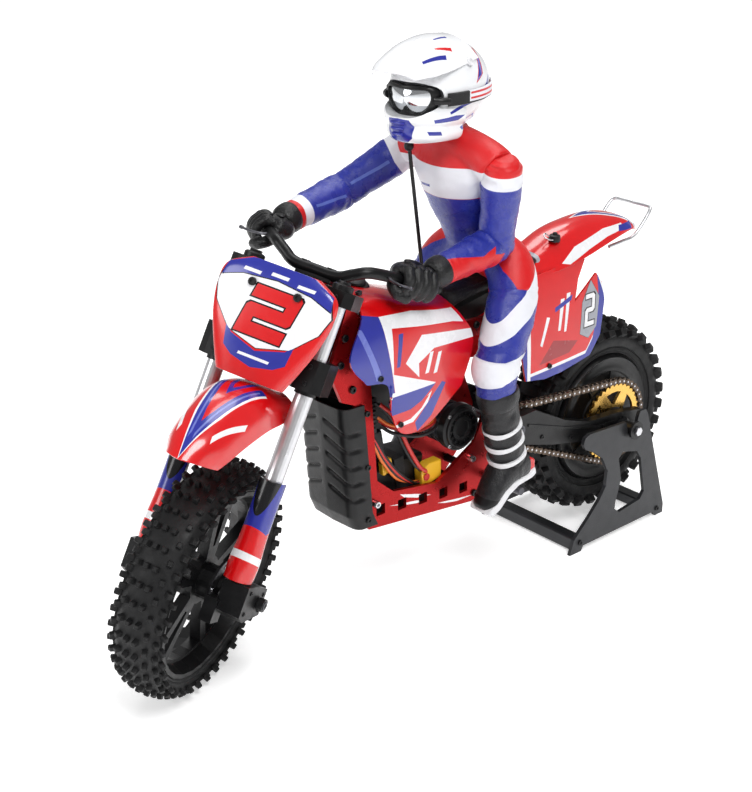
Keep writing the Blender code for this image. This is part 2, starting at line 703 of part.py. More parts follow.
def tail_fairing():
    """Rear fender shell with a number panel joined on each side."""
    rows = [
        [(72, 0, 242), (71, 12, 240), (70, 20, 232), (70, 23, 226)],
        [(50, 0, 251), (50, 13, 248), (50, 21, 236), (51, 24, 228)],
        [(30, 0, 255), (30, 13, 251), (29, 21, 239), (30, 24, 232)],
        [(6, 0, 256), (5, 13, 252), (3, 20, 242), (3, 22, 237)],
        [(-18, 0, 251), (-19, 12, 249), (-21, 18, 243), (-21, 19, 240)],
        [(-37, 0, 241), (-35, 10, 241), (-31, 15, 240), (-30, 16, 238)],
    ]
    fender = half_shell("tail_fairing", rows, 1.4)
    outline = [(106.0, 2.0), (87.0, -1.0), (69.0, 0.0), (37.0, 5.0), (24.0, 18.0), (16.0, 44.0)]
    outline += [(17.0, 58.0), (23.0, 66.0), (50.0, 50.0), (44.0, 66.0), (34.0, 79.0), (70.0, 79.0)]
    outline += [(98.0, 76.0), (112.0, 50.0)]
    panels = []
    for side, sign in SIDES:
        lean = Matrix.Rotation(sign * TAIL_PANEL_LEAN, 4, "X")
        foot = Matrix.Translation(at(0.0, sign * 33.5, 151.0))
        panels.append(slab(f"tail_panel_{side}", [outline], 1.6, foot @ lean @ SIDE_VIEW))
    combine(fender, panels, "UNION", "lift_off")
    finish(fender, "red_plastic", "lift_off")


def grab_handle():
    points = [(2, 17.5, 231), (-24, 19.4, 234.5), (-33, 20.2, 242.5), (-43, 19.6, 252), (-44.5, 17.5, 253.4)]
    points += [(x, -y, z) for x, y, z in reversed(points)]
    finish(wire("grab_handle", [at(*p) for p in points], 1.1), "steel", "lift_off")


def motor_and_cover():
    x, z = MOTOR_CENTRE
    can = cylinder("motor", 15.0, at(x, -12.0, z), at(x, 17.5, z), 24)
    finish(can, "dark_steel", "lift_off")
    cover = cylinder("motor_cover", 17.5, at(x, 18.0, z), at(x, 25.0, z), 24)
    lip = cylinder("motor_cover_lip", 15.5, at(x, 24.0, z), at(x, 27.5, z), 24)
    combine(cover, [lip], "UNION", "lift_off")
    finish(cover, "black_plastic", "lift_off")


def electronics():
    pack = box("battery", (52.0, 30.0, 26.0), at(214.0, -4.0, 104.0), Matrix.Rotation(BATTERY_TILT, 4, "Y"))
    finish(round_off(pack, 2.0), "black_plastic", "lift_off")
    servo = box("steering_servo", (36.0, 18.0, 24.0), at(228.0, 0.0, 190.0))
    finish(round_off(servo, 1.0), "black_plastic", "lift_off")
    speed = box("speed_controller", (22.0, 36.0, 26.0), at(249.0, 0.0, 160.0))
    finish(speed, "black_plastic", "lift_off")
    spline = at(*SERVO_HORN)
    horn = cylinder("servo_horn", 3.5, spline - Vector((0, 0, 0.0054)), spline, 12)
    finish(horn, "black_plastic", "servo_horn_turn")


def power_leads():
    route = [at(x, y, z) for x, y, z in LEAD_ROUTE]
    lead = wire("power_lead_red", smooth_route(route, LEAD_STEPS), 1.5)
    plug = round_off(box("power_plug", (19.0, 9.0, 17.0), at(187.0, 15.5, 101.0)), 0.8)
    combine(lead, [plug], "UNION", "lift_off")
    finish(lead, "red_cable", "lift_off")
    route = [at(x, y, z) for x, y, z in SENSOR_ROUTE]
    finish(wire("motor_lead_black", smooth_route(route, LEAD_STEPS), 1.3), "black_plastic", "lift_off")


def footpegs():
    bar = cylinder("footpeg_bar", 3.0, at(FOOTPEG[0], -58.0, FOOTPEG[1]), at(FOOTPEG[0], 58.0, FOOTPEG[1]), 12)
    finish(bar, "dark_steel", "lift_off")


# ---------------------------------------------------------------- front end
def front_wheel():
    loops = [circle((0.0, 0.0), FRONT_RIM_R - 3.0, 30), circle((0.0, 0.0), 3.6, 12)]
    for i in range(5):
        for offset, half, inner in ((0.0, 24.0, 17.0), (36.0, 5.0, 24.0)):
            middle = 72.0 * i + offset
            hole = arc((0.0, 0.0), FRONT_RIM_R - 9.0, middle - half, middle + half, 4)
            hole += arc((0.0, 0.0), inner, middle + half * 0.7, middle - half * 0.7, 2)
            loops.append(hole)
    matrix = Matrix.Translation(FRONT_AXLE) @ SIDE_VIEW
    web = slab("front_wheel", loops, 8.0, matrix)
    rim_profile = [(FRONT_RIM_R - 3.0, FRONT_RIM_HALF), (FRONT_RIM_R, FRONT_RIM_HALF)]
    rim_profile += [(FRONT_RIM_R, -FRONT_RIM_HALF), (FRONT_RIM_R - 3.0, -FRONT_RIM_HALF), (57.0, 0.0)]
    rim = turned("front_rim", rim_profile, FRONT_AXLE, 30)
    hub_profile = [(3.6, 20.0), (10.0, 20.0), (10.0, 17.6), (21.0, 17.6), (21.0, 16.0), (12.0, 16.0)]
    hub_profile += [(12.0, -18.0), (3.6, -18.0)]
    hub = turned("front_hub", hub_profile, FRONT_AXLE, 20)
    combine(web, [rim, hub], "UNION", "front_wheel_spin")
    finish(web, "black_plastic", "front_wheel_spin")
    tyre(
        "front_tyre", FRONT_TYRE_R, FRONT_TYRE_HALF, FRONT_RIM_R, FRONT_RIM_HALF, FRONT_AXLE, "front_wheel_spin"
    )


def front_axle():
    profile = [(0.0, 49.0), (4.5, 49.0), (4.5, 44.8), (3.1, 44.8)]
    profile += [(r, -y) for r, y in reversed(profile)]
    finish(turned_bar("front_axle", profile, FRONT_AXLE, 12), "steel", "fork_travel")


def fork_legs():
    for side, sign in SIDES:
        y = sign * FORK_Y
        tube = cylinder(f"fork_tube_{side}", FORK_TUBE_R, fork(FORK_N, y, 46.0), fork(FORK_N, y, 210.0), 20)
        bore = cylinder(f"fork_bore_{side}", 4.2, fork(FORK_N, y, 40.0), fork(FORK_N, y, 150.0), 16)
        combine(tube, [bore], "DIFFERENCE", "steering")
        finish(tube, "steel", "steering")
        slider = cylinder(f"fork_lower_{side}", FORK_SLIDER_R, fork(FORK_N, y, 0.0), fork(FORK_N, y, 118.0), 16)
        outline = [(-9.0, -9.0), (-9.0, 9.0), (8.0, 12.0), (24.5, 12.0), (24.5, -8.0), (16.0, -12.0)]
        foot = slab(
            f"fork_foot_{side}",
            [outline],
            18.0,
            Matrix.Translation(fork(0.0, sign * 35.0, 0.0)) @ Matrix.Rotation(-RAKE, 4, "Y") @ SIDE_VIEW,
        )
        pieces = [foot]
        if sign > 0:
            caliper = box("caliper", (12.0, 9.0, 16.0), fork(21.0, 23.5, -10.0), Matrix.Rotation(-RAKE, 4, "Y"))
            pieces.append(caliper)
        hole = cylinder(f"axle_hole_{side}", 3.5, fork(0.0, sign * 20.0, 0.0), fork(0.0, sign * 50.0, 0.0), 12)
        combine(slider, pieces, "UNION", "fork_travel")
        combine(slider, [hole], "DIFFERENCE", "fork_travel")
        finish(slider, "black_plastic", "fork_travel")
        fork_guard(side, sign)


def fork_guard(side, sign):
    """Half-pipe shell that follows the axle clamp and shields the leg's front and outer side."""
    inner, outer = FORK_TUBE_R + 1.2, FORK_TUBE_R + 2.8
    start, end = -60.0 * sign, 125.0 * sign
    outline = arc((0.0, 0.0), outer, start, end, 9) + arc((0.0, 0.0), inner, end, start, 9)
    matrix = Matrix.Translation(fork(FORK_N, sign * FORK_Y, 46.5)) @ ACROSS_FORK
    guard = slab(f"fork_guard_{side}", [outline], 67.0, matrix)
    finish(guard, "red_plastic", "fork_travel")


def clamp_outline():
    half = [(-19.0, 8.0), (-8.0, 20.0), (5.0, 43.0), (24.0, 44.0), (28.0, 38.0), (28.0, 25.0), (15.0, 16.0)]
    return half + [(n, -y) for n, y in reversed(half)]


def fork_clamps():
    holes = [circle((FORK_N, sign * FORK_Y), FORK_TUBE_R + GAP, 20) for side, sign in SIDES]
    for name, low, high in (("lower_clamp", 140.0, 161.0), ("upper_clamp", 197.0, 207.0)):
        matrix = Matrix.Translation(fork(0.0, 0.0, (low + high) / 2)) @ ACROSS_FORK
        plate = slab(name, [clamp_outline()] + holes, high - low, matrix)
        if name == "lower_clamp":
            stem_foot = fork(-STEER_AXIS_SETBACK, 0.0, 150.0)
            stem_head = fork(-STEER_AXIS_SETBACK, 0.0, 196.4)
            combine(plate, [cylinder("stem", 4.0, stem_foot, stem_head, 16)], "UNION", "steering")
        finish(plate, "black_plastic", "steering")


def handlebar():
    """Bent bar on a flat riser block over the stem."""
    half = [(273.0, 0.0, 267.5), (273.0, 16.0, 268.0), (270.0, 25.0, 271.5), (266.5, 33.0, 274.5)]
    half += [(259.0, 40.0, 273.0), (238.2, 55.8, 265.5), (222.0, 68.0, 259.0)]
    points = [(x, -y, z) for x, y, z in reversed(half[1:])] + half
    bar = wire("handlebar", [at(*p) for p in points], 3.4)
    centre = fork(-12.0, 0.0, 213.6)
    block = box("riser", (13.0, 34.0, 12.4), centre, Matrix.Rotation(-RAKE, 4, "Y"))
    combine(bar, [block], "UNION", "steering")
    finish(bar, "black_plastic", "steering")


def gloves():
    """Hands moulded round the grips, with a brake or clutch lever."""
    for side, sign in SIDES:
        centre = at(GRIP[0], sign * GRIP[1], GRIP[2])
        palm = ball(f"glove_{side}", (15.0, 17.0, 12.0), centre, Matrix.Rotation(sign * 0.6, 4, "Z"))
        tip = at(264.0, sign * 73.0, 269.0)
        root = at(262.0, sign * 46.0, 270.0)
        lever = wire(f"lever_{side}", [at(244.0, sign * 50.0, 266.0), root, tip], 1.7)
        inside = at(259.0, sign * 40.0, 273.0)
        grip_end = at(220.0, sign * 69.5, 258.2)
        bore = cylinder(f"grip_bore_{side}", 4.2, inside + (inside - grip_end) * 0.05, grip_end, 12)
        combine(palm, [lever], "UNION", "steering")
        combine(palm, [bore], "DIFFERENCE", "steering")
        finish(palm, "black_plastic", "steering")


def number_plate():
    rows = []
    for t, n, half in ((135.0, 40.0, 24.0), (150.0, 41.5, 31.0), (168.0, 43.0, 38.0), (186.0, 43.5, 41.5),
                       (200.0, 43.5, 39.0), (208.5, 42.5, 24.0)):
        row = []
        for share, drop in ((0.0, 0.0), (0.6, 0.5), (0.92, 2.5), (1.0, 6.0)):
            place = fork(n - drop, half * share, t) - at(0.0, 0.0, 0.0)
            row.append(tuple(place / MM))
        rows.append(row)
    finish(half_shell("number_plate", rows, 1.5), "white_plastic", "steering")


def front_fender():
    rows = [
        [(321, 0, 201), (320, 12, 200), (319, 20, 194), (318, 23, 186)],
        [(343, 0, 214), (343, 13, 212), (344, 22, 204), (345, 26, 194)],
        [(366, 0, 221), (366, 13, 218), (366, 22, 209), (364, 26, 198)],
        [(390, 0, 219), (390, 12, 216), (388, 20, 207), (385, 24, 197)],
        [(412, 0, 211), (411, 11, 208), (407, 18, 201), (403, 21, 193)],
        [(428, 0, 200), (424, 9, 198), (416, 15, 193), (408, 17, 188)],
    ]
    finish(half_shell("front_fender", rows, 1.4), "red_plastic", "steering")


# ---------------------------------------------------------------- rider
def rider_torso():
    stations = [(126, 0, 241.5, 28, 24), (126, 0, 250, 29, 25), (130, 0, 266, 24, 22), (138, 0, 290, 26, 23)]
    stations += [(147, 0, 315, 31, 23), (153, 0, 330, 29, 19), (156, 0, 336.5, 17, 13)]
    finish(limb("rider_torso", stations, 16), "red_plastic", "lift_off")


def rider_legs():
    for side, sign in SIDES:
        leg = [(125, 37, 236, 13, 15), (131, 40, 224, 17, 18), (142, 45, 204, 17, 18)]
        leg += [(154, 50, 180, 15.5, 16.5), (152, 49, 158, 13, 14), (146, 48, 130, 13, 13.5)]
        leg += [(143, 48, 112, 14, 14)]
        stations = [(x, sign * y, z, across, deep) for x, y, z, across, deep in leg]
        shank = limb(f"rider_leg_{side}", stations, 12)
        boot = [(126, 48, 97, 10, 9), (139, 48, 103, 12, 14), (152, 48, 93, 11, 10), (160, 48, 80, 9, 6)]
        stations = [(x, sign * y, z, across, deep) for x, y, z, across, deep in boot]
        combine(shank, [limb(f"boot_{side}", stations, 12)], "UNION", "lift_off")
        inside = at(FOOTPEG[0], sign * 30.0, FOOTPEG[1])
        outside = at(FOOTPEG[0], sign * 62.0, FOOTPEG[1])
        peg_room = cylinder(f"peg_room_{side}", 3.5, inside, outside, 12)
        combine(shank, [peg_room], "DIFFERENCE", "lift_off")
        finish(shank, "blue_plastic", "lift_off")


def rider_head():
    turn = Matrix.Rotation(HEAD_TURN, 4, "Z")
    centre = at(*HEAD_CENTRE)
    shell = ball("helmet", (39.0, 31.0, 32.0), centre, turn, 20, 12)
    chin = ball("chin_bar", (26.0, 23.0, 17.0), centre + turn @ Vector((0.019, 0.0, -0.019)), turn, 16, 8)
    peak = round_off(box("peak", (46.0, 48.0, 3.0), centre + turn @ Vector((0.033, 0, 0.0175)), turn), 1.0)
    room = turn @ Vector((0.030, 0.0, 0.001))
    eye_port = box("eye_port", (24.0, 70.0, 21.0), centre + room + turn @ Vector((0.012, 0, 0)), turn)
    neck_cut = box("neck_cut", (90.0, 90.0, 30.0), centre + Vector((0.0, 0.0, -0.049)))
    combine(shell, [chin, peak], "UNION", "head_turn")
    combine(shell, [eye_port, neck_cut], "DIFFERENCE", "head_turn")
    finish(shell, "white_plastic", "head_turn")
    goggles = box("goggles", (6.0, 46.0, 18.0), centre + turn @ Vector((0.0335, 0, 0.001)), turn)
    finish(round_off(goggles, 2.0), "lens", "head_turn")


def head_link_rod():
    foot = at(*HEAD_ROD_FOOT)
    head = at(*HEAD_ROD_TOP)
    finish(wire("head_link_rod", [foot, head], 1.3), "black_plastic", "head_rod_tilt")


def steered_grip(sign):
    """Where a grip's middle is once the bars are turned, in bike coordinates."""
    turn = Quaternion(UP_FORK, STEER_REST)
    straight = at(GRIP[0], sign * GRIP[1], GRIP[2])
    return (STEER_POINT + turn @ (straight - STEER_POINT) - at(0.0, 0.0, 0.0)) / MM


def rider_arms():
    """Each arm reaches for its grip.  The upper arm is cupped clear of the elbow."""
    for side, sign in SIDES:
        shoulder = Vector((SHOULDER[0], sign * SHOULDER[1], SHOULDER[2]))
        elbow = Vector(ELBOW_LEFT if sign > 0 else ELBOW_RIGHT)
        grip = steered_grip(sign)
        wrist = grip + (elbow - grip).normalized() * WRIST_GAP
        sleeve = ((0.0, 13.5), (0.3, 13.5), (0.65, 11.5), (0.84, 10.5))
        upper = limb_between(f"upper_arm_{side}", shoulder, elbow, sleeve)
        cap = ball(f"shoulder_cap_{side}", (13.5, 13.5, 13.5), at(*shoulder), None, 12, 8)
        cup = ball(f"elbow_cup_{side}", (ELBOW_CUP_R, ELBOW_CUP_R, ELBOW_CUP_R), at(*elbow), None, 12, 8)
        combine(upper, [cap], "UNION", f"shoulder_{side}")
        combine(upper, [cup], "DIFFERENCE", f"shoulder_{side}")
        finish(upper, "red_plastic", f"shoulder_{side}")
        cuff = ((-0.15, 6.0), (0.0, 10.0), (0.3, 11.0), (0.75, 10.0), (1.0, 8.5))
        lower = limb_between(f"forearm_{side}", elbow, wrist, cuff)
        finish(lower, "red_plastic", f"elbow_{side}")


def limb_between(name, start, end, shares):
    stations = []
    for share, radius in shares:
        centre = start.lerp(end, share)
        stations.append((centre.x, centre.y, centre.z, radius, radius))
    return limb(name, stations, 12)


# ---------------------------------------------------------------- assembly
def build():
    make_joint_empties()
    stand_plates()
    stand_bars()
    rear_wheel()
    gyro_flywheel()
    rear_sprocket()
    drive_sprocket()
    drive_chain()
    swingarm()
    rear_axle()
    pivot_shaft()
    shock()
    frame_plates()
    backbone()
    skid_tray()
    radiator_guard()
    tank_shroud()
    seat()
    tail_fairing()
    grab_handle()
    motor_and_cover()
    electronics()
    power_leads()
    footpegs()
    front_wheel()
    front_axle()
    fork_legs()
    fork_clamps()
    handlebar()
    gloves()
    number_plate()
    front_fender()
    rider_torso()
    rider_legs()
    rider_head()
    head_link_rod()
    rider_arms()
    steering = EMPTIES["steering"][0]
    steering.rotation_mode = "QUATERNION"
    steering.rotation_quaternion = Quaternion(UP_FORK, STEER_REST)


build()
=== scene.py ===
"""Looks of the radio-controlled motocross bike with its rider on a display stand.

Pieces are drawn in millimetres in a handful of frames that come from the record's joints:
BIKE (x forward of the rear axle, y left, z up from the ground), BARS (the same frame turned
with the steering), FORK (n ahead of the front axle, y left, t up the fork) and HEAD.
"""

import json
import math

import bmesh
import bpy
from mathutils import Matrix, Vector, noise
from mathutils.bvhtree import BVHTree
from mathutils.interpolate import poly_3d_calc


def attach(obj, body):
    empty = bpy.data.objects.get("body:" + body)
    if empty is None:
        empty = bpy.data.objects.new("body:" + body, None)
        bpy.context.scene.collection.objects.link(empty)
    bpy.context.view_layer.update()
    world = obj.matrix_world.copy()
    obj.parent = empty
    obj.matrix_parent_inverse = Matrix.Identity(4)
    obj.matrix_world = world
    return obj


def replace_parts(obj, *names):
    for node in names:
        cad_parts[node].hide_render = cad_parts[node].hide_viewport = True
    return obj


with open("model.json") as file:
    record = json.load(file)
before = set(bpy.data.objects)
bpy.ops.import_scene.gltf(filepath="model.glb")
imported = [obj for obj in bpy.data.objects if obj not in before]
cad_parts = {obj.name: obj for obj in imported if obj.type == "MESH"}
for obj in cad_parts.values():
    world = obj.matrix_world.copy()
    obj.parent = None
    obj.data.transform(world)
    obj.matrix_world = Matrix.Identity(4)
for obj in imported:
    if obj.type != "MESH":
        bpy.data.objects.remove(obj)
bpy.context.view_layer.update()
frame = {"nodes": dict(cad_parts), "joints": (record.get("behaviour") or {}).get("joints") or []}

# ---------------------------------------------------------------- dimensions in millimetres
MM = 0.001
STEER_REST = math.radians(27.0)
HEAD_TURN = math.radians(10.0)
HEAD_CENTRE = (165.0, 0.0, 372.5)
# middle and ends of the left hand grip, before the bars are turned
GRIP = (238.5, 56.5, 265.0)
GRIP_INNER = (259.0, 40.0, 273.0)
GRIP_OUTER = (220.0, 69.5, 258.2)
# the fork legs stand this far beside the middle and ahead of the front axle
FORK_Y = 32.0
FORK_N = 17.7
# outer radius, half width, rim radius and rim half width
FRONT_TYRE = (82.1, 19.3, 65.0, 13.7)
REAR_TYRE = (79.6, 20.7, 52.0, 15.5)
CHAIN_Y = 27.5
CHAIN_PITCH = 5.4
PIVOT = (118.0, 119.0)
REAR_AXLE_Z = 88.6
DRIVE_SPROCKET_R = 11.6
REAR_SPROCKET_R = 31.6
CHAIN_LINE = 2.0
FRAME_Y = 22.5
FRAME_HALF = 1.5
STAND_Y = 47.5
AXLE_END = 54.0
MOTOR_CENTRE = (164.0, 131.0)
# how far the tread falls away at its edges, and how steeply
CROWN_DROP = 9.0
CROWN_POWER = 2.4
BOLT_SIDES = 12
# a bolt head from its foot to the socket's floor: share of the radius, share of the height
BOLT_PROFILE = ((1.0, -0.3), (1.0, 0.8), (0.86, 1.0), (0.5, 1.0), (0.5, 0.45))
SIDES = (("left", 1), ("right", -1))
# for flat outlines: the local axes across, up and outward
XZ_VIEW = (0, 2, 1)
XY_VIEW = (0, 1, 2)
YZ_VIEW = (1, 2, 0)

JOINTS = {joint["name"]: joint for joint in frame["joints"]}
SCENE = bpy.context.scene


# ---------------------------------------------------------------- frames of reference
def joint_place(name):
    return Vector(JOINTS[name]["pos_m"])


def axes(first, second, third):
    """A turn whose columns are the three axes."""
    return Matrix((first, second, third)).transposed().to_4x4()


def columns(across, deep, up, origin):
    return Matrix.Translation(origin) @ axes(across, deep, up) @ Matrix.Scale(MM, 4)


AXLE = joint_place("rear_wheel_spin")
BIKE = Matrix.Translation((AXLE.x, AXLE.y, 0.0)) @ Matrix.Scale(MM, 4)
REAR_HUB = Matrix.Translation(AXLE) @ Matrix.Scale(MM, 4)
UP_FORK = Vector(JOINTS["steer"]["axis"]).normalized()
LEFT_FORK = Vector(JOINTS["front_wheel_spin"]["axis"]).normalized()
FORK = columns(LEFT_FORK.cross(UP_FORK), LEFT_FORK, UP_FORK, joint_place("front_wheel_spin"))
STEER_POINT = joint_place("steer")
STEERED = Matrix.Translation(STEER_POINT) @ Matrix.Rotation(STEER_REST, 4, UP_FORK)
STEERED = STEERED @ Matrix.Translation(-STEER_POINT)
BARS = STEERED @ BIKE
HEAD = Matrix.Translation(BIKE @ Vector(HEAD_CENTRE)) @ Matrix.Rotation(HEAD_TURN, 4, "Z")
HEAD = HEAD @ Matrix.Scale(MM, 4)

# ---------------------------------------------------------------- materials
# name: colour, roughness, metallic, coat, colour variation, grain size per metre, bump in mm, record slot
FINISHES = {
    "red_gloss": ((0.62, 0.003, 0.005), 0.22, 0.0, 0.6, 0.10, 300, 0.03, "red_plastic"),
    "dark_red_gloss": ((0.30, 0.004, 0.01), 0.24, 0.0, 0.6, 0.10, 300, 0.03, "red_plastic"),
    "blue_gloss": ((0.020, 0.027, 0.29), 0.22, 0.0, 0.5, 0.10, 300, 0.03, "blue_plastic"),
    "lilac_gloss": ((0.13, 0.16, 0.50), 0.28, 0.0, 0.5, 0.08, 300, 0.03, "blue_plastic"),
    "white_gloss": ((0.80, 0.80, 0.82), 0.26, 0.0, 0.5, 0.03, 300, 0.03, "white_plastic"),
    "black_gloss": ((0.006, 0.006, 0.007), 0.22, 0.0, 0.3, 0.20, 300, 0.03, "black_plastic"),
    "grey_gloss": ((0.30, 0.31, 0.35), 0.3, 0.0, 0.4, 0.06, 300, 0.03, "white_plastic"),
    "black_plastic": ((0.004, 0.004, 0.0045), 0.38, 0.0, 0.0, 0.30, 900, 0.10, "black_plastic"),
    "black_metal": ((0.005, 0.005, 0.0055), 0.34, 0.1, 0.0, 0.25, 700, 0.06, "dark_steel"),
    "stand_paint": ((0.030, 0.031, 0.034), 0.38, 0.4, 0.0, 0.18, 1300, 0.08, "painted_steel"),
    "rubber": ((0.004, 0.004, 0.0045), 0.58, 0.0, 0.0, 0.35, 500, 0.22, "rubber"),
    "red_anodised": ((0.36, 0.005, 0.006), 0.30, 0.75, 0.0, 0.12, 900, 0.05, "red_anodised"),
    "steel": ((0.62, 0.62, 0.64), 0.28, 1.0, 0.0, 0.10, 700, 0.04, "steel"),
    "fork_silver": ((0.66, 0.66, 0.68), 0.33, 0.85, 0.0, 0.06, 250, 0.02, "steel"),
    "dark_steel": ((0.09, 0.09, 0.10), 0.34, 0.9, 0.0, 0.20, 700, 0.05, "dark_steel"),
    "chain_steel": ((0.11, 0.08, 0.06), 0.36, 0.95, 0.0, 0.45, 300, 0.06, "dark_steel"),
    "gold": ((0.78, 0.47, 0.12), 0.27, 1.0, 0.0, 0.12, 500, 0.04, "gold"),
    "yellow_plastic": ((0.85, 0.47, 0.02), 0.36, 0.0, 0.1, 0.08, 500, 0.05, "gold"),
    "red_cable": ((0.55, 0.02, 0.015), 0.42, 0.0, 0.1, 0.12, 900, 0.04, "red_cable"),
    "orange_cable": ((0.75, 0.16, 0.02), 0.42, 0.0, 0.1, 0.12, 900, 0.04, "red_cable"),
    "black_cable": ((0.010, 0.010, 0.011), 0.42, 0.0, 0.1, 0.25, 900, 0.04, "black_plastic"),
    "lens": ((0.66, 0.68, 0.70), 0.07, 0.95, 0.3, 0.10, 90, 0.01, "lens"),
    "helmet_white": ((0.82, 0.83, 0.85), 0.20, 0.0, 0.7, 0.03, 200, 0.02, "white_plastic"),
}
# name: colour, roughness, sheen, threads per metre, bump in mm, record slot
FABRICS = {
    "suit_red": ((0.60, 0.003, 0.005), 0.36, 0.05, 2400, 0.10, "red_plastic"),
    "suit_white": ((0.76, 0.77, 0.82), 0.40, 0.05, 2400, 0.10, "white_plastic"),
    "suit_blue": ((0.019, 0.030, 0.29), 0.28, 0.03, 2400, 0.10, "blue_plastic"),
    # the next finish is a painted highlight: pale blue streaks on the sleeves that stand in for light shining
    # on the glossy suit
    "suit_painted_highlight": ((0.10, 0.15, 0.50), 0.32, 0.05, 2400, 0.10, "blue_plastic"),
    "suit_dark": ((0.008, 0.008, 0.009), 0.46, 0.04, 2400, 0.10, "black_plastic"),
    "glove_leather": ((0.004, 0.004, 0.0045), 0.36, 0.02, 1100, 0.22, "black_plastic"),
    "boot_leather": ((0.008, 0.008, 0.0095), 0.34, 0.02, 1300, 0.18, "black_plastic"),
    "strap_white": ((0.74, 0.74, 0.76), 0.42, 0.10, 1600, 0.10, "white_plastic"),
    "seat_vinyl": ((0.006, 0.006, 0.007), 0.46, 0.03, 800, 0.26, "black_plastic"),
}
MADE = {}
# a colour darker than this gets the lower reflection of its kind, so that blacks stay black
DARK_BELOW = 0.03
DARK_HARD_SHINE = 0.34
DARK_CLOTH_SHINE = 0.4


def shade(colour, factor):
    return tuple(min(1.0, channel * factor) for channel in colour) + (1.0,)


def add_node(tree, kind, values, links):
    """A node with its constant inputs set and the others linked."""
    node = tree.nodes.new(kind)
    for name, value in values.items():
        node.inputs[name].default_value = value
    for name, source in links.items():
        tree.links.new(source, node.inputs[name])
    return node


def noise_node(tree, coordinates, scale, detail):
    values = {"Scale": scale, "Detail": detail}
    return add_node(tree, "ShaderNodeTexNoise", values, {"Vector": coordinates}).outputs["Fac"]


def spread(tree, source, low, high):
    """Stretch the middle of a noise to the range from low to high."""
    values = {"From Min": 0.3, "From Max": 0.7, "To Min": low, "To Max": high}
    return add_node(tree, "ShaderNodeMapRange", values, {"Value": source}).outputs["Result"]


def mottled(tree, coordinates, shader, colour, vary, scale):
    """Slow colour change over the surface."""
    mix = tree.nodes.new("ShaderNodeMix")
    mix.data_type = "RGBA"
    mix.inputs["A"].default_value = shade(colour, 1.0 - vary)
    mix.inputs["B"].default_value = shade(colour, 1.0 + vary)
    tree.links.new(noise_node(tree, coordinates, scale, 4.0), mix.inputs["Factor"])
    tree.links.new(mix.outputs["Result"], shader.inputs["Base Color"])


def bumped(tree, height, shader, distance):
    values = {"Strength": 1.0, "Distance": distance * MM}
    bump = add_node(tree, "ShaderNodeBump", values, {"Height": height})
    tree.links.new(bump.outputs["Normal"], shader.inputs["Normal"])


def arithmetic(tree, operation, first):
    node = tree.nodes.new("ShaderNodeMath")
    node.operation = operation
    tree.links.new(first, node.inputs[0])
    return node


def started(name, roughness):
    made = bpy.data.materials.new(name)
    made.use_nodes = True
    tree = made.node_tree
    shader = tree.nodes["Principled BSDF"]
    coordinates = tree.nodes.new("ShaderNodeTexCoord").outputs["Object"]
    rough = spread(tree, noise_node(tree, coordinates, 140.0, 5.0), roughness * 0.82, roughness * 1.2)
    tree.links.new(rough, shader.inputs["Roughness"])
    return made, tree, shader, coordinates


def hard_finish(name):
    colour, roughness, metallic, coat, vary, grain, bump, _ = FINISHES[name]
    made, tree, shader, coordinates = started(name, roughness)
    shader.inputs["Metallic"].default_value = metallic
    shader.inputs["Coat Weight"].default_value = coat
    shader.inputs["Coat Roughness"].default_value = 0.08
    if max(colour) < DARK_BELOW:
        shader.inputs["Specular IOR Level"].default_value = DARK_HARD_SHINE
    mottled(tree, coordinates, shader, colour, vary, 60.0)
    bumped(tree, noise_node(tree, coordinates, grain, 3.0), shader, bump)
    return made


def woven_finish(name):
    colour, roughness, sheen, threads, bump, _ = FABRICS[name]
    made, tree, shader, coordinates = started(name, roughness)
    shader.inputs["Sheen Weight"].default_value = sheen
    shader.inputs["Sheen Roughness"].default_value = 0.4
    if max(colour) < DARK_BELOW:
        shader.inputs["Specular IOR Level"].default_value = DARK_CLOTH_SHINE
    mottled(tree, coordinates, shader, colour, 0.10, 45.0)
    cells = add_node(tree, "ShaderNodeTexVoronoi", {"Scale": threads}, {"Vector": coordinates})
    folds = arithmetic(tree, "ADD", cells.outputs["Distance"])
    creases = arithmetic(tree, "MULTIPLY", noise_node(tree, coordinates, 130.0, 4.0))
    creases.inputs[1].default_value = 6.0
    tree.links.new(creases.outputs["Value"], folds.inputs[1])
    bumped(tree, folds.outputs["Value"], shader, bump)
    return made


def material(name):
    if name not in MADE:
        MADE[name] = hard_finish(name) if name in FINISHES else woven_finish(name)
    return MADE[name]


# ---------------------------------------------------------------- curves and grids of points
def spline(points, count):
    """Points of a smooth curve through the given ones, evenly shared between them."""
    ends = [points[0] * 2 - points[1]] + list(points) + [points[-1] * 2 - points[-2]]
    route = []
    for i in range(count + 1):
        place = i / count * (len(points) - 1)
        j = min(int(place), len(points) - 2)
        u = place - j
        a, b, c, d = ends[j : j + 4]
        first = (b * 2) + (c - a) * u
        rest = (a * 2 - b * 5 + c * 4 - d) * u**2 + (b * 3 - a - c * 3 + d) * u**3
        route.append((first + rest) / 2)
    return route


def smooth_points(points, count):
    return spline([Vector(point) for point in points], count)


def smooth_line(points, count):
    """The same in a plane."""
    return [(point.x, point.y) for point in smooth_points([(u, v, 0.0) for u, v in points], count)]


def smooth_loop(half):
    """A closed outline mirrored from its right half."""
    fine = smooth_line(half, 20)
    return fine + [(-u, v) for u, v in reversed(fine[1:-1])]


def smooth_grid(rows, down, along):
    """A finer grid through a coarse one."""
    fine = [smooth_points(row, along) for row in rows]
    return [list(row) for row in zip(*[spline(column, down) for column in zip(*fine)])]


def mirrored(rows):
    return [[(x, -y, z) for x, y, z in reversed(row[1:])] + list(row) for row in rows]


def arc(centre, radius, start, end, steps):
    points = []
    for i in range(steps + 1):
        angle = math.radians(start + (end - start) * i / steps)
        points.append((centre[0] + radius * math.cos(angle), centre[1] + radius * math.sin(angle)))
    return points


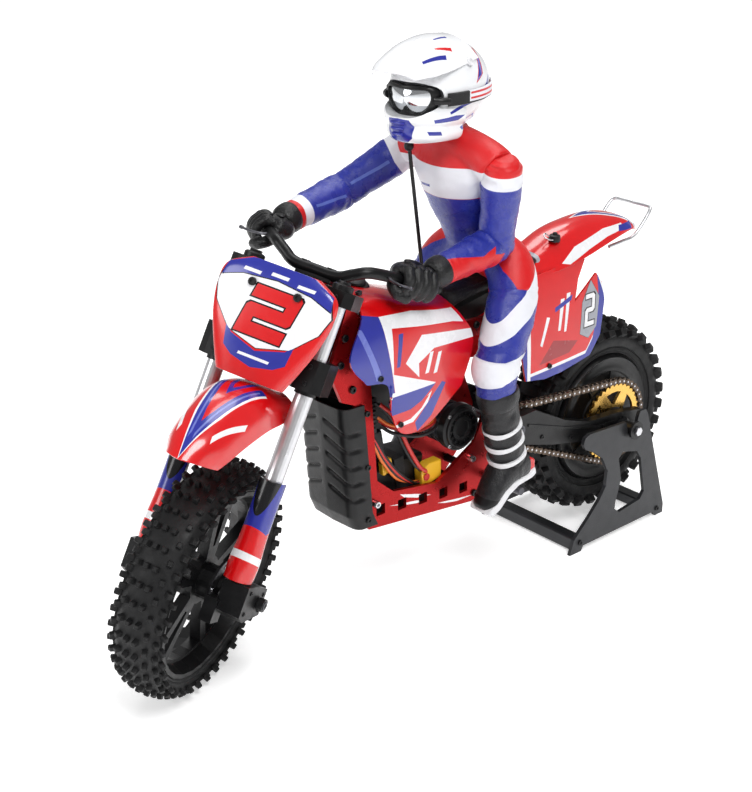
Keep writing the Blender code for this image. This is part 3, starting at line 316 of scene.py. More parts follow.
def circle(centre, radius, steps):
    return arc(centre, radius, 0.0, 360.0 * (steps - 1) / steps, steps - 1)


def places_round(radius, y, count, start=0.0):
    """Points spaced round the y axis."""
    places = []
    for i in range(count):
        angle = math.radians(start + 360.0 * i / count)
        places.append((radius * math.cos(angle), y, radius * math.sin(angle)))
    return places


# ---------------------------------------------------------------- making pieces
def placed(name, mesh, body, kind, sharp=40.0):
    mesh.materials.append(material(kind))
    mesh.shade_smooth()
    mesh.set_sharp_from_angle(angle=math.radians(sharp))
    thing = bpy.data.objects.new(name, mesh)
    SCENE.collection.objects.link(thing)
    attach(thing, body)
    return thing


def from_bmesh(name, bm, matrix, body, kind, sharp=40.0):
    bm.transform(matrix)
    bmesh.ops.recalc_face_normals(bm, faces=bm.faces)
    mesh = bpy.data.meshes.new(name)
    bm.to_mesh(mesh)
    bm.free()
    return placed(name, mesh, body, kind, sharp)


def bevelled(thing, width, segments=2):
    bevel = thing.modifiers.new("edges", "BEVEL")
    bevel.width = width * MM
    bevel.segments = segments
    bevel.limit_method = "ANGLE"
    bevel.angle_limit = math.radians(35.0)
    bevel.harden_normals = True
    return thing


def thickened(thing, thickness, offset=-1.0, even=False):
    solid = thing.modifiers.new("solid", "SOLIDIFY")
    solid.thickness = thickness * MM
    solid.offset = offset
    solid.use_even_offset = even
    return thing


def baked(thing):
    """Apply the piece's modifiers to its mesh."""
    bpy.context.view_layer.update()
    graph = bpy.context.evaluated_depsgraph_get()
    mesh = bpy.data.meshes.new_from_object(thing.evaluated_get(graph))
    thing.modifiers.clear()
    thing.data = mesh
    return thing


def subdivided(thing):
    smooth = thing.modifiers.new("smooth", "SUBSURF")
    smooth.levels = 1
    smooth.render_levels = 1
    return baked(thing)


def middle_face(thing):
    return thing.data.polygons[len(thing.data.polygons) // 2]


def turned_out(thing, outward):
    """Turn the faces over when the middle one looks against the outward direction."""
    if middle_face(thing).normal.dot(outward) < 0.0:
        thing.data.flip_normals()
    return thing


def rings_into(bm, rings, closed=True, capped=True):
    """Add faces to bm between rings of points that follow one another."""
    rows = [[bm.verts.new(point) for point in ring] for ring in rings]
    count = len(rows[0])
    for low, high in zip(rows, rows[1:]):
        for j in range(count if closed else count - 1):
            k = (j + 1) % count
            bm.faces.new((low[j], low[k], high[k], high[j]))
    if capped:
        bm.faces.new(rows[0])
        bm.faces.new(rows[-1])


def skin(name, grid, matrix, body, kind, closed=False, capped=False):
    bm = bmesh.new()
    rings_into(bm, grid, closed, capped)
    return from_bmesh(name, bm, matrix, body, kind)


def shell(name, rows, matrix, out, thickness, body, kind, steps):
    """A moulded cover through mirrored rows, thickened inward with rounded edges."""
    cover = skin(name, smooth_grid(mirrored(rows), *steps), matrix, body, kind)
    turned_out(cover, matrix.to_3x3() @ Vector(out))
    return baked(bevelled(thickened(cover, thickness, even=True), 0.4))


def lathe(name, profile, matrix, body, kind, steps=64):
    """A body turned about the y axis.  The profile is a closed line of (radius, y)."""
    bm = bmesh.new()
    points = [bm.verts.new((radius, y, 0.0)) for radius, y in profile]
    edges = [bm.edges.new(pair) for pair in zip(points, points[1:] + points[:1])]
    turn = {"cent": (0, 0, 0), "axis": (0, 1, 0), "angle": 2 * math.pi, "steps": steps}
    bmesh.ops.spin(bm, geom=points + edges, use_merge=True, **turn)
    bmesh.ops.remove_doubles(bm, verts=bm.verts, dist=0.001)
    return from_bmesh(name, bm, matrix, body, kind)


def slab_into(bm, outline, low, high, place):
    """Add a prism to bm.  place turns (u, v, w) into a point."""
    rings_into(bm, [[place(u, v, w) for u, v in outline] for w in (low, high)])


def side_place(u, v, w):
    return (u, w, v)


def slab(name, outline, low, high, matrix, body, kind, edge=0.4):
    bm = bmesh.new()
    slab_into(bm, outline, low, high, side_place)
    return bevelled(from_bmesh(name, bm, matrix, body, kind), edge)


def tube_into(bm, path, radii, sides=12, flat=1.0):
    """Add a round bar along a path to bm.  flat squeezes it across its second direction."""
    across = None
    rings = []
    for i, point in enumerate(path):
        ahead = (path[min(i + 1, len(path) - 1)] - path[max(i - 1, 0)]).normalized()
        if across is None:
            guide = Vector((0, 0, 1)) if abs(ahead.z) < 0.9 else Vector((0, 1, 0))
            across = ahead.cross(guide)
        across = (across - ahead * across.dot(ahead)).normalized()
        other = ahead.cross(across)
        ring = []
        for j in range(sides):
            angle = 2 * math.pi * j / sides
            reach = across * math.cos(angle) + other * (math.sin(angle) * flat)
            ring.append(point + reach * radii[i])
        rings.append(ring)
    rings_into(bm, rings)


def tube(name, points, radius, matrix, body, kind, count=40, sides=16):
    bm = bmesh.new()
    path = smooth_points(points, count)
    tube_into(bm, path, [radius] * len(path), sides)
    return from_bmesh(name, bm, matrix, body, kind)


def ball_into(bm, centre, radii, segments=24, rings=16):
    made = bmesh.ops.create_uvsphere(bm, u_segments=segments, v_segments=rings, radius=1.0)
    matrix = Matrix.Translation(centre) @ Matrix.Diagonal((*radii, 1.0))
    bmesh.ops.transform(bm, matrix=matrix, verts=made["verts"])


def bolts(name, places, out, radius, height, matrix, body, kind="dark_steel"):
    """Socket-head bolts merged into one piece."""
    bm = bmesh.new()
    out = Vector(out).normalized()
    side = out.orthogonal().normalized()
    other = out.cross(side)
    for place in places:
        rings = []
        for reach, lift in BOLT_PROFILE:
            ring = []
            for j in range(BOLT_SIDES):
                angle = 2 * math.pi * j / BOLT_SIDES
                spoke = side * math.cos(angle) + other * math.sin(angle)
                ring.append(Vector(place) + spoke * radius * reach + out * height * lift)
            rings.append(ring)
        rings_into(bm, rings)
    return from_bmesh(name, bm, matrix, body, kind, 30.0)


def merged(name, bm, matrix, body, kind, voxel, rounds):
    """One smooth skin round overlapping solids."""
    thing = from_bmesh(name, bm, matrix, body, kind, 180.0)
    remesh = thing.modifiers.new("one_skin", "REMESH")
    remesh.mode = "VOXEL"
    remesh.voxel_size = voxel * MM
    remesh.use_smooth_shade = True
    relax = thing.modifiers.new("relax", "SMOOTH")
    relax.factor = 0.5
    relax.iterations = rounds
    baked(thing)
    thing.data.shade_smooth()
    return thing


def cut_with(thing, outline, low, high, place):
    """Take a prism out of the piece."""
    bm = bmesh.new()
    slab_into(bm, outline, low, high, place)
    cutter = from_bmesh("cutter", bm, HEAD, "head", "black_plastic")
    cut = thing.modifiers.new("cut", "BOOLEAN")
    cut.operation = "DIFFERENCE"
    cut.solver = "EXACT"
    cut.object = cutter
    baked(thing)
    bpy.data.objects.remove(cutter)


def keep_cad(node, kind, edge=0.4):
    """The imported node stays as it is, with a finished material and rounded edges."""
    thing = frame["nodes"][node]
    thing.data.materials.clear()
    thing.data.materials.append(material(kind))
    return bevelled(thing, edge) if edge else thing


def copy_cad(name, node, body, kind, edge):
    """A piece with the node's own shape that can be painted."""
    source = frame["nodes"][node]
    mesh = source.data.copy()
    mesh.transform(source.matrix_world)
    mesh.materials.clear()
    thing = placed(name, mesh, body, kind)
    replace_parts(thing, node)
    return baked(bevelled(thing, edge))


# ---------------------------------------------------------------- colour areas
def inside(u, v, outline):
    hit = False
    for (au, av), (bu, bv) in zip(outline, outline[1:] + outline[:1]):
        if (av > v) != (bv > v) and u < (bu - au) * (v - av) / (bv - av) + au:
            hit = not hit
    return hit


def crossed(face, view, start, along, length):
    """Whether the outline's edge passes through the face in the flat view."""
    sides = []
    reach = []
    for vert in face.verts:
        du = vert.co[view[0]] - start[0]
        dv = vert.co[view[1]] - start[1]
        sides.append(dv * along[0] - du * along[1])
        reach.append(du * along[0] + dv * along[1])
    return min(sides) < -0.01 and max(sides) > 0.01 and max(reach) > 0.0 and min(reach) < length


def cut_along(bm, near, start, end, view):
    length = math.dist(start, end)
    along = ((end[0] - start[0]) / length, (end[1] - start[1]) / length)
    picked = [face for face in near if face.is_valid and crossed(face, view, start, along, length)]
    if not picked:
        return
    edges = {edge for face in picked for edge in face.edges}
    verts = {vert for face in picked for vert in face.verts}
    place = Vector((0.0, 0.0, 0.0))
    normal = Vector((0.0, 0.0, 0.0))
    place[view[0]], place[view[1]] = start
    normal[view[0]], normal[view[1]] = -along[1], along[0]
    geometry = picked + list(edges) + list(verts)
    made = bmesh.ops.bisect_plane(bm, geom=geometry, dist=0.001, plane_co=place, plane_no=normal)
    near.update(part for part in made["geom"] if isinstance(part, bmesh.types.BMFace))


def shading_of(mesh):
    corners = [corner.vector.copy() for corner in mesh.corner_normals]
    places = [vert.co.copy() for vert in mesh.vertices]
    polygons = [(list(p.vertices), list(p.loop_indices)) for p in mesh.polygons]
    tree = BVHTree.FromPolygons(places, [verts for verts, _ in polygons])
    return corners, places, polygons, tree


def shaded_as_before(mesh, shading):
    """Give the cut faces the smooth normals that the uncut surface had."""
    corners, places, polygons, tree = shading
    normals = [Vector((0.0, 0.0, 0.0))] * len(mesh.loops)
    for polygon in mesh.polygons:
        found = tree.find_nearest(polygon.center)
        verts, loops = polygons[found[2]]
        outline = [places[i] for i in verts]
        for loop in polygon.loop_indices:
            point = mesh.vertices[mesh.loops[loop].vertex_index].co
            weights = poly_3d_calc(outline, point)
            normal = Vector((0.0, 0.0, 0.0))
            for weight, corner in zip(weights, loops):
                normal += corners[corner] * weight
            normals[loop] = normal.normalized()
    mesh.normals_split_custom_set(normals)


def paint(thing, matrix, view, layers):
    """Split faces along flat outlines and give each area its finish.

    A layer is (finish, outline, side).  view numbers the local axes across, up and outward of
    the outlines.  side is the sign of the outward axis of the faces painted, or 0 for all.
    """
    mesh = thing.data
    shading = shading_of(mesh)
    bm = bmesh.new()
    bm.from_mesh(mesh)
    bm.transform(matrix.inverted())
    for kind, outline, side in layers:
        if material(kind).name not in [made.name for made in mesh.materials]:
            mesh.materials.append(material(kind))
        index = [made.name for made in mesh.materials].index(material(kind).name)
        low = [min(point[i] for point in outline) for i in (0, 1)]
        high = [max(point[i] for point in outline) for i in (0, 1)]
        bm.normal_update()
        near = set()
        for face in bm.faces:
            us = [vert.co[view[0]] for vert in face.verts]
            vs = [vert.co[view[1]] for vert in face.verts]
            clear = max(us) < low[0] or min(us) > high[0] or max(vs) < low[1] or min(vs) > high[1]
            if not clear and (not side or face.normal[view[2]] * side > 0.03):
                near.add(face)
        for start, end in zip(outline, outline[1:] + outline[:1]):
            cut_along(bm, near, start, end, view)
        for face in near:
            if face.is_valid:
                centre = face.calc_center_median()
                if inside(centre[view[0]], centre[view[1]], outline):
                    face.material_index = index
    bm.transform(matrix)
    bm.to_mesh(mesh)
    bm.free()
    shaded_as_before(mesh, shading)
    return thing


def both_sides(layers):
    return [(kind, outline, side) for kind, outline in layers for side in (1, -1)]


def both_halves(layers):
    """Layers for upper faces, then the same ones mirrored about the middle line."""
    made = []
    for flip in (1, -1):
        made += [(kind, [(u, flip * v) for u, v in outline], 1) for kind, outline in layers]
    return made


# ---------------------------------------------------------------- wheels
def crown_radius(outer, half, y):
    return outer - CROWN_DROP * (abs(y) / half) ** CROWN_POWER


def knob_into(bm, outer, half, y, angle, lean, size, depth):
    """One tread block, a tapered prism that stands on the carcass."""
    lean = math.copysign(math.radians(lean), y) if y else 0.0
    radial = Vector((math.cos(angle), 0.0, math.sin(angle)))
    along = Vector((-math.sin(angle), 0.0, math.cos(angle)))
    out = radial * math.cos(lean) + Vector((0, 1, 0)) * math.sin(lean)
    across = Vector((0, 1, 0)) * math.cos(lean) - radial * math.sin(lean)
    foot = radial * (crown_radius(outer, half, y) - depth) + Vector((0.0, y, 0.0))
    rings = []
    for lift, share in ((-1.2, 1.12), (depth - 0.5, 0.94), (depth, 0.8)):
        ring = []
        for i, j in ((-1, -1), (1, -1), (1, 1), (-1, 1)):
            reach = across * (i * size[0] / 2 * share) + along * (j * size[1] / 2 * share)
            ring.append(foot + out * lift + reach)
        rings.append(ring)
    rings_into(bm, rings)


def tyre(name, sizes, matrix, body, node, pitches, pattern, depth):
    """Carcass with a bead ring, and tread blocks.  A pattern row is (y, phase, lean, size)."""
    outer, half, rim, rim_half = sizes
    base = outer - depth
    rising = [(rim + 0.2, rim_half - 0.3), (rim + 1.6, rim_half + 0.9), (rim + 3.2, rim_half + 0.5)]
    rising += [(rim + 6.0, half * 0.86), ((rim + base) / 2, half * 0.92), (base - 6.5, half * 0.84)]
    rising += [(base - 2.2, half * 0.6), (base - 0.5, half * 0.3)]
    profile = rising + [(base, 0.0)] + [(radius, -y) for radius, y in reversed(rising)]
    carcass = lathe(name + "_carcass", smooth_line(profile, 72), matrix, body, "rubber", 120)
    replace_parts(carcass, node)
    bm = bmesh.new()
    for i in range(pitches):
        for y, phase, lean, size in pattern:
            for sign in (1, -1) if y else (1,):
                angle = 2 * math.pi * (i + phase + (0.5 if sign < 0 and lean else 0.0)) / pitches
                knob_into(bm, outer, half, sign * y, angle, lean, size, depth)
    bevelled(from_bmesh(name + "_tread", bm, matrix, body, "rubber"), 0.35, 1)
    rib = [(rim + 5.2, half * 0.84), (rim + 5.9, half * 0.9), (rim + 6.6, half * 0.88)]
    for side, sign in SIDES:
        loop = [(radius, sign * y) for radius, y in rib]
        lathe(f"{name}_rib_{side}", loop, matrix, body, "rubber", 120)


def tyres():
    front = [(3.2, 0.0, 0, (3.3, 3.4)), (9.0, 0.5, 24, (3.4, 3.7))]
    front += [(14.2, 0.0, 48, (3.3, 4.0)), (17.4, 0.5, 64, (2.8, 3.8))]
    tyre("front_tyre_skin", FRONT_TYRE, FORK, "front_wheel", "front_tyre", 40, front, 3.9)
    rear = [(4.2, 0.0, 0, (5.0, 5.0)), (11.4, 0.5, 26, (5.0, 5.6)), (17.0, 0.0, 58, (5.4, 7.0))]
    tyre("rear_tyre_skin", REAR_TYRE, REAR_HUB, "rear_wheel", "rear_tyre", 31, rear, 5.0)


def rear_wheel():
    """Closed drum with a moulded ring on each face."""
    half = [(10.0, 16.2), (13.0, 16.8), (20.0, 16.9), (21.0, 17.9), (23.0, 18.0), (24.0, 17.1)]
    half += [(38.0, 17.6), (39.2, 18.7), (42.0, 18.8), (43.2, 18.0), (48.4, 18.4), (50.0, 19.2), (52.0, 16.2)]
    profile = half + [(r, -y) for r, y in reversed(half)] + [(10.0, -15.0), (10.0, 15.0)]
    drum = lathe("rear_drum", profile, REAR_HUB, "rear_wheel", "black_plastic", 96)
    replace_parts(drum, "rear_wheel")
    bm = bmesh.new()
    for i in range(8):
        angle = math.radians(45.0 * i + 12.0)
        cos, sin = math.cos(angle), math.sin(angle)
        rib = [(-7.4, -0.7), (7.4, -0.7), (7.4, 0.7), (-7.4, 0.7)]
        spun = [(31.0 * cos + u * cos - v * sin, 31.0 * sin + u * sin + v * cos) for u, v in rib]
        for sign in (1, -1):
            slab_into(bm, spun, sign * 17.0, sign * 18.3, side_place)
    bevelled(from_bmesh("rear_drum_ribs", bm, REAR_HUB, "rear_wheel", "black_plastic"), 0.3)
    keep_cad("gyro_flywheel", "steel")


def front_wheel():
    keep_cad("front_wheel", "black_plastic", 0.7)
    bolts("disc_bolts", places_round(17.0, 17.6, 6), (0, 1, 0), 1.3, 0.8, FORK, "front_wheel", "steel")
    ring = [(13.0, 17.5), (13.0, 17.9), (20.6, 17.9), (20.6, 17.5)]
    lathe("brake_disc_face", ring, FORK, "front_wheel", "dark_steel", 72)
    keep_cad("front_axle", "black_metal", 0.3)
    for side, sign in SIDES:
        bolts(f"axle_end_{side}", [(0, sign * 48.7, 0)], (0, sign, 0), 3.0, 1.0, FORK, "fork_lower")


# ---------------------------------------------------------------- chain drive
def chain_route():
    """Points and headings one pitch apart round both sprockets."""
    front = DRIVE_SPROCKET_R + CHAIN_LINE
    rear = REAR_SPROCKET_R + CHAIN_LINE
    span = Vector((PIVOT[0], PIVOT[1] - REAR_AXLE_Z))
    lean = math.degrees(math.atan2(span.y, span.x))
    wrap = math.degrees(math.asin((rear - front) / span.length))
    line = arc(PIVOT, front, lean - 90.0 + wrap, lean + 90.0 - wrap, 40)
    line += arc((0.0, REAR_AXLE_Z), rear, lean + 90.0 - wrap, lean + 270.0 + wrap, 120)
    line.append(line[0])
    lengths = [math.dist(a, b) for a, b in zip(line, line[1:])]
    count = 2 * round(sum(lengths) / CHAIN_PITCH / 2)
    step = sum(lengths) / count
    pins = []
    travelled = 0.0
    wanted = 0.0
    for (a, b), length in zip(zip(line, line[1:]), lengths):
        while wanted < travelled + length - 1e-6 and len(pins) < count:
            share = (wanted - travelled) / length
            pins.append((a[0] + (b[0] - a[0]) * share, a[1] + (b[1] - a[1]) * share))
            wanted += step
        travelled += length
    return pins


def link_outline(start, end, radius, waist):
    """A link plate's figure-of-eight outline round two pins."""
    heading = math.degrees(math.atan2(end[1] - start[1], end[0] - start[0]))
    middle = ((start[0] + end[0]) / 2, (start[1] + end[1]) / 2)
    side = math.radians(heading + 90.0)
    reach = (math.cos(side) * waist, math.sin(side) * waist)
    outline = arc(end, radius, heading - 80.0, heading + 80.0, 5)
    outline.append((middle[0] + reach[0], middle[1] + reach[1]))
    outline += arc(start, radius, heading + 100.0, heading + 260.0, 5)
    outline.append((middle[0] - reach[0], middle[1] - reach[1]))
    return outline


def chain():
    pins = chain_route()
    plates = bmesh.new()
    rollers = bmesh.new()
    for i, start in enumerate(pins):
        end = pins[(i + 1) % len(pins)]
        inner = 1.35 if i % 2 else 2.05
        outline = link_outline(start, end, 2.6, 1.9)
        for sign in (1, -1):
            low, high = CHAIN_Y + sign * inner, CHAIN_Y + sign * (inner + 0.6)
            slab_into(plates, outline, low, high, side_place)
        slab_into(rollers, circle(start, 1.45, 12), CHAIN_Y - 1.35, CHAIN_Y + 1.35, side_place)
        slab_into(rollers, circle(start, 0.8, 8), CHAIN_Y - 2.9, CHAIN_Y + 2.9, side_place)
    links = from_bmesh("chain_links", plates, BIKE, "swingarm", "chain_steel")
    bevelled(links, 0.12, 1)
    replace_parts(links, "drive_chain")
    from_bmesh("chain_rollers", rollers, BIKE, "swingarm", "steel")


def sprockets():
    keep_cad("rear_sprocket", "gold", 0.25)
    keep_cad("drive_sprocket", "dark_steel", 0.2)
    ring = [(6.0, 28.7), (6.0, 30.4), (10.4, 30.4), (12.2, 29.6), (12.2, 28.7)]
    lathe("sprocket_centre", ring, REAR_HUB, "rear_wheel", "black_metal", 48)
    bolts("sprocket_bolts", places_round(9.2, 30.4, 6), (0, 1, 0), 1.2, 0.9, REAR_HUB, "rear_wheel", "steel")
    nut = [(0.0, 31.0), (4.0, 31.0), (4.6, 30.4), (4.6, 28.7), (0.0, 28.7)]
    hub = BIKE @ Matrix.Translation((PIVOT[0], 0, PIVOT[1]))
    lathe("drive_sprocket_nut", nut, hub, "drive_sprocket", "steel", 6)


# ---------------------------------------------------------------- stage, light and camera
CAMERA_PLACE = (847.764, 725.510, 568.128)
CAMERA_TARGET = (196.71, 0.0, 169.23)
CAMERA_ROLL = -0.00166548
CAMERA_LENS = 67.854
CAMERA_SHIFT = (-0.03509, -0.02015)
FLOOR = 25.0
WHITE = (1.0, 1.0, 1.0, 1.0)
SKY = 0.30
PAPER = {
    "Base Color": (0.94, 0.94, 0.94, 1.0),
    "Roughness": 0.9,
    "Specular IOR Level": 0.1,
    "Emission Color": WHITE,
    "Emission Strength": 0.46,
}
# name: place, aim, size and power, in metres and watts
LAMPS = {
    "key": ((0.5, 1.1, 1.6), (0.0, 0.0, 0.15), 0.8, 20.0),
    "fill": ((1.5, -0.4, 0.9), (0.0, 0.0, 0.15), 0.8, 8.0),
    "top": ((-0.5, 0.0, 1.8), (0.0, 0.0, 0.1), 1.0, 12.0),
    "wash": ((-1.4, -1.7, 2.6), (-2.1, -2.5, 0.0), 1.6, 36.0),
}


def camera():
    place = BIKE @ Vector(CAMERA_PLACE)
    ahead = (BIKE @ Vector(CAMERA_TARGET) - place).normalized()
    right = ahead.cross(Vector((0, 0, 1))).normalized()
    up = right.cross(ahead)
    rolled = right * math.cos(CAMERA_ROLL) + up * math.sin(CAMERA_ROLL)
    lens = bpy.data.cameras.new("camera")
    lens.lens = CAMERA_LENS
    lens.sensor_width = 36.0
    lens.shift_x, lens.shift_y = CAMERA_SHIFT
    lens.clip_start = 0.01
    made = bpy.data.objects.new("camera", lens)
    made.matrix_world = Matrix.Translation(place) @ axes(rolled, rolled.cross(ahead), -ahead)
    SCENE.collection.objects.link(made)
    SCENE.camera = made


def area_light(name, place, aim, size, power):
    light = bpy.data.lights.new(name, "AREA")
    light.shape = "DISK"
    light.size = size
    light.energy = power
    made = bpy.data.objects.new(name, light)
    ahead = Vector(aim) - Vector(place)
    made.matrix_world = Matrix.Translation(place) @ ahead.to_track_quat("-Z", "Y").to_matrix().to_4x4()
    SCENE.collection.objects.link(made)


def studio():
    """White paper under and behind the bike, an even sky and the lamps."""
    corners = [(u * FLOOR, v * FLOOR, 0) for u, v in ((-1, -1), (1, -1), (1, 1), (-1, 1))]
    floor = bpy.data.meshes.new("floor")
    floor.from_pydata(corners, [], [(0, 1, 2, 3)])
    paper = bpy.data.materials.new("paper")
    paper.use_nodes = True
    for name, value in PAPER.items():
        paper.node_tree.nodes["Principled BSDF"].inputs[name].default_value = value
    floor.materials.append(paper)
    ground = bpy.data.objects.new("floor", floor)
    SCENE.collection.objects.link(ground)
    world = bpy.data.worlds.new("studio")
    world.use_nodes = True
    background = world.node_tree.nodes["Background"]
    background.inputs["Color"].default_value = WHITE
    background.inputs["Strength"].default_value = SKY
    SCENE.world = world
    for name, (place, aim, size, power) in LAMPS.items():
        area_light(name, place, aim, size, power)
    SCENE.view_settings.view_transform = "Standard"


# ---------------------------------------------------------------- bodywork
def tank_shroud():
    rows = [
        [(257, 0, 252.5), (256, 14, 251.5), (260, 30, 239), (276, 37, 214), (263, 38, 195)],
        [(244, 0, 250.5), (244, 15, 249), (245, 32, 236), (256, 38, 212), (246, 39, 190)],
        [(228, 0, 247), (228, 16, 245), (228, 33, 234), (238, 39, 205), (243, 40, 168)],
        [(212, 0, 242), (212, 17, 240), (212, 34, 231), (218, 39, 200), (233, 40, 152)],
        [(194, 0, 237), (194, 17, 235), (194, 33, 227), (196, 38, 196), (209, 39, 152)],
        [(177, 0, 233), (176, 16, 231), (170, 31, 219), (163, 35, 200), (175, 36.5, 171)],
    ]
    cover = shell("tank_cover", rows, BIKE, (0, 0, 1), 1.4, "chassis", "red_gloss", (40, 56))
    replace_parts(cover, "tank_shroud")
    livery = [
        ("blue_gloss", [(262, 241), (247, 237), (240, 181), (256, 184), (286, 208), (276, 238)]),
        ("white_gloss", [(247, 237), (219, 235), (177, 226), (170, 214), (202, 181), (240, 183)]),
        ("red_gloss", [(239, 228), (182, 219), (164, 214), (150, 196), (202, 181), (241, 197)]),
        ("white_gloss", [(214, 218), (160, 209), (160, 203), (203, 206), (218, 199), (218, 189), (230, 202)]),
        ("white_gloss", [(207, 204), (203.6, 204), (209, 190), (212.4, 190)]),
        ("white_gloss", [(199, 202), (195.6, 202), (201, 188), (204.4, 188)]),
        ("blue_gloss", [(234, 223), (230, 223), (235, 201), (238, 201)]),
        ("white_gloss", [(242, 184), (202, 181), (222, 175), (244, 180)]),
        ("blue_gloss", [(243, 181), (202, 180.4), (224, 166), (244, 168)]),
        ("white_gloss", [(243, 164), (222, 166), (206, 176), (210, 168), (224, 158), (241, 158)]),
        ("red_gloss", [(244, 168), (226, 168), (208, 174), (216, 166), (226, 161), (243, 160)]),
        ("blue_gloss", [(208, 170), (196, 180), (192, 178), (206, 158), (220, 150), (222, 157)]),
        ("lilac_gloss", [(268, 234), (263, 232), (250, 196), (255, 196)]),
    ]
    paint(cover, BIKE, XZ_VIEW, both_sides(livery))
    rim = [(0.0, 6.0), (5.0, 6.0), (6.4, 5.4), (6.8, 4.2), (6.2, 3.4), (8.6, 2.8), (9.4, 1.6), (9.4, 0.0)]
    rim.append((0.0, 0.0))
    upright = Matrix.Translation((240.0, 0.0, 248.2)) @ Matrix.Rotation(math.radians(80.0), 4, "X")
    lathe("tank_cap", rim, BIKE @ upright, "chassis", "black_plastic", 40)
    places = [(251, 16.5, 250.4), (251, -16.5, 250.4), (186, 15, 233.4), (186, -15, 233.4)]
    bolts("tank_bolts", places, (0.1, 0, 1), 2.3, 1.6, BIKE, "chassis", "black_plastic")
    for side, sign in SIDES:
        places = [(252, sign * 38.9, 197), (236, sign * 40.7, 160)]
        bolts(f"shroud_bolts_{side}", places, (0.1, sign, 0.1), 2.0, 1.2, BIKE, "chassis", "black_plastic")


def front_fender():
    rows = [
        [(321, 0, 201), (320, 12, 200), (319, 20, 194), (318, 23, 186)],
        [(343, 0, 214), (343, 13, 212), (344, 22, 204), (345, 26, 194)],
        [(366, 0, 221), (366, 13, 218), (366, 22, 209), (364, 26, 198)],
        [(390, 0, 219), (390, 12, 216), (388, 20, 207), (385, 24, 197)],
        [(412, 0, 211), (411, 11, 208), (407, 18, 201), (403, 21, 193)],
        [(428, 0, 200), (424, 9, 198), (416, 15, 193), (408, 17, 188)],
    ]
    fender = shell("front_fender_skin", rows, BARS, (0, 0, 1), 1.4, "steering", "red_gloss", (44, 48))
    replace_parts(fender, "front_fender")
    arrow = [(427, 0), (396, 7.5), (352, 15.5), (351, 11), (394, 2.6), (404, 0)]
    livery = [
        ("white_gloss", [(u + 1.0, v + (1.2 if v > 1 else 0.0)) for u, v in arrow]),
        ("blue_gloss", arrow),
        ("lilac_gloss", [(416, 1.6), (394, 5.4), (356, 13.2), (355.6, 12.0), (393, 4.4), (412, 1.0)]),
        ("blue_gloss", [(377, 0), (362, 5.0), (344, 7.4), (344, 5.0), (362, 2.2), (368, 0)]),
        ("white_gloss", [(412, 11.6), (386, 20.6), (382, 20.0), (408, 10.6)]),
    ]
    paint(fender, BARS, XY_VIEW, both_halves(livery))
    places = [(330, 9, 208.6), (330, -9, 208.6)]
    bolts("fender_bolts", places, (-0.4, 0, 1), 2.0, 1.2, BARS, "steering", "black_plastic")


def number_plate():
    rows = []
    sections = [(135.0, 40.0, 24.0), (150.0, 41.5, 31.0), (168.0, 43.0, 38.0), (186.0, 43.5, 41.5)]
    sections += [(200.0, 43.5, 39.0), (208.5, 42.5, 24.0)]
    for t, n, half in sections:
        rows.append([(n, 0, t), (n - 0.5, half * 0.6, t), (n - 2.5, half * 0.92, t), (n - 6, half, t)])
    plate = shell("number_board", rows, FORK, (1, 0, 0), 1.5, "steering", "red_gloss", (40, 48))
    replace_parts(plate, "number_plate")
    panel = [(0, 155.5), (22, 161.5), (36, 176), (40, 188), (36.5, 199), (0, 204), (-36.5, 199), (-40, 188)]
    panel += [(-36, 176), (-22, 161.5)]
    top = [(-37, 201), (-22, 208), (0, 210), (22, 208), (37, 201), (38.6, 192), (24, 197), (0, 199.4)]
    top += [(-24, 197), (-38.6, 192)]
    low = [(-24, 163.5), (-19, 159.4), (0, 153.6), (19, 159.4), (24, 163.5), (22, 151), (15, 146.4), (0, 143)]
    low += [(-15, 146.4), (-22, 151)]
    livery = [
        ("black_gloss", [(u * 1.02, (v - 178) * 1.022 + 178) for u, v in panel]),
        ("white_gloss", panel),
        ("black_gloss", [(u, v - 0.7) for u, v in top]),
        ("blue_gloss", top),
        ("blue_gloss", low),
    ]
    for middle in (-19.0, 0.0, 19.0):
        v = 202.2 - abs(middle) * 0.10
        bar = [(middle - 6, v - 1.2), (middle + 6, v - 1.2), (middle + 6.6, v + 1.0), (middle - 5.4, v + 1.0)]
        livery.append(("white_gloss", bar))
    livery.append(("white_gloss", [(-11, 148.4), (11, 148.4), (11.6, 150.2), (-10.4, 150.2)]))
    for kind, grow in (("black_gloss", 1.0), ("red_gloss", 0.0)):
        livery.append((kind, plain_digit(1.0, 177.6, 33.0, 32.0, 8.2, grow)))
    paint(plate, FORK, YZ_VIEW, [(kind, outline, 1) for kind, outline in livery])
    places = [(44.0, 16, 193.6), (44.0, -16, 193.6)]
    bolts("plate_bolts", places, (1, 0, 0), 2.7, 1.5, FORK, "steering", "black_plastic")


def plain_digit(across, up, width, height, stroke, grow):
    """The numeral two as a blocky outline, sheared forward.  grow widens it on all sides."""
    wide, tall, thick = width / 2 + grow, height / 2 + grow, stroke / 2 + grow
    outline = [(-wide, tall), (wide - 2, tall), (wide, tall - 2), (wide, 2 - thick), (wide - 2, -thick)]
    outline += [(-wide + 2 * thick, -thick), (-wide + 2 * thick, -tall + 2 * thick)]
    outline += [(wide, -tall + 2 * thick), (wide, -tall), (-wide, -tall), (-wide, thick - 2)]
    outline += [(2 - wide, thick), (wide - 2 * thick, thick), (wide - 2 * thick, tall - 2 * thick)]
    outline.append((-wide, tall - 2 * thick))
    return [(across + u + v * 0.2, up + v) for u, v in outline]


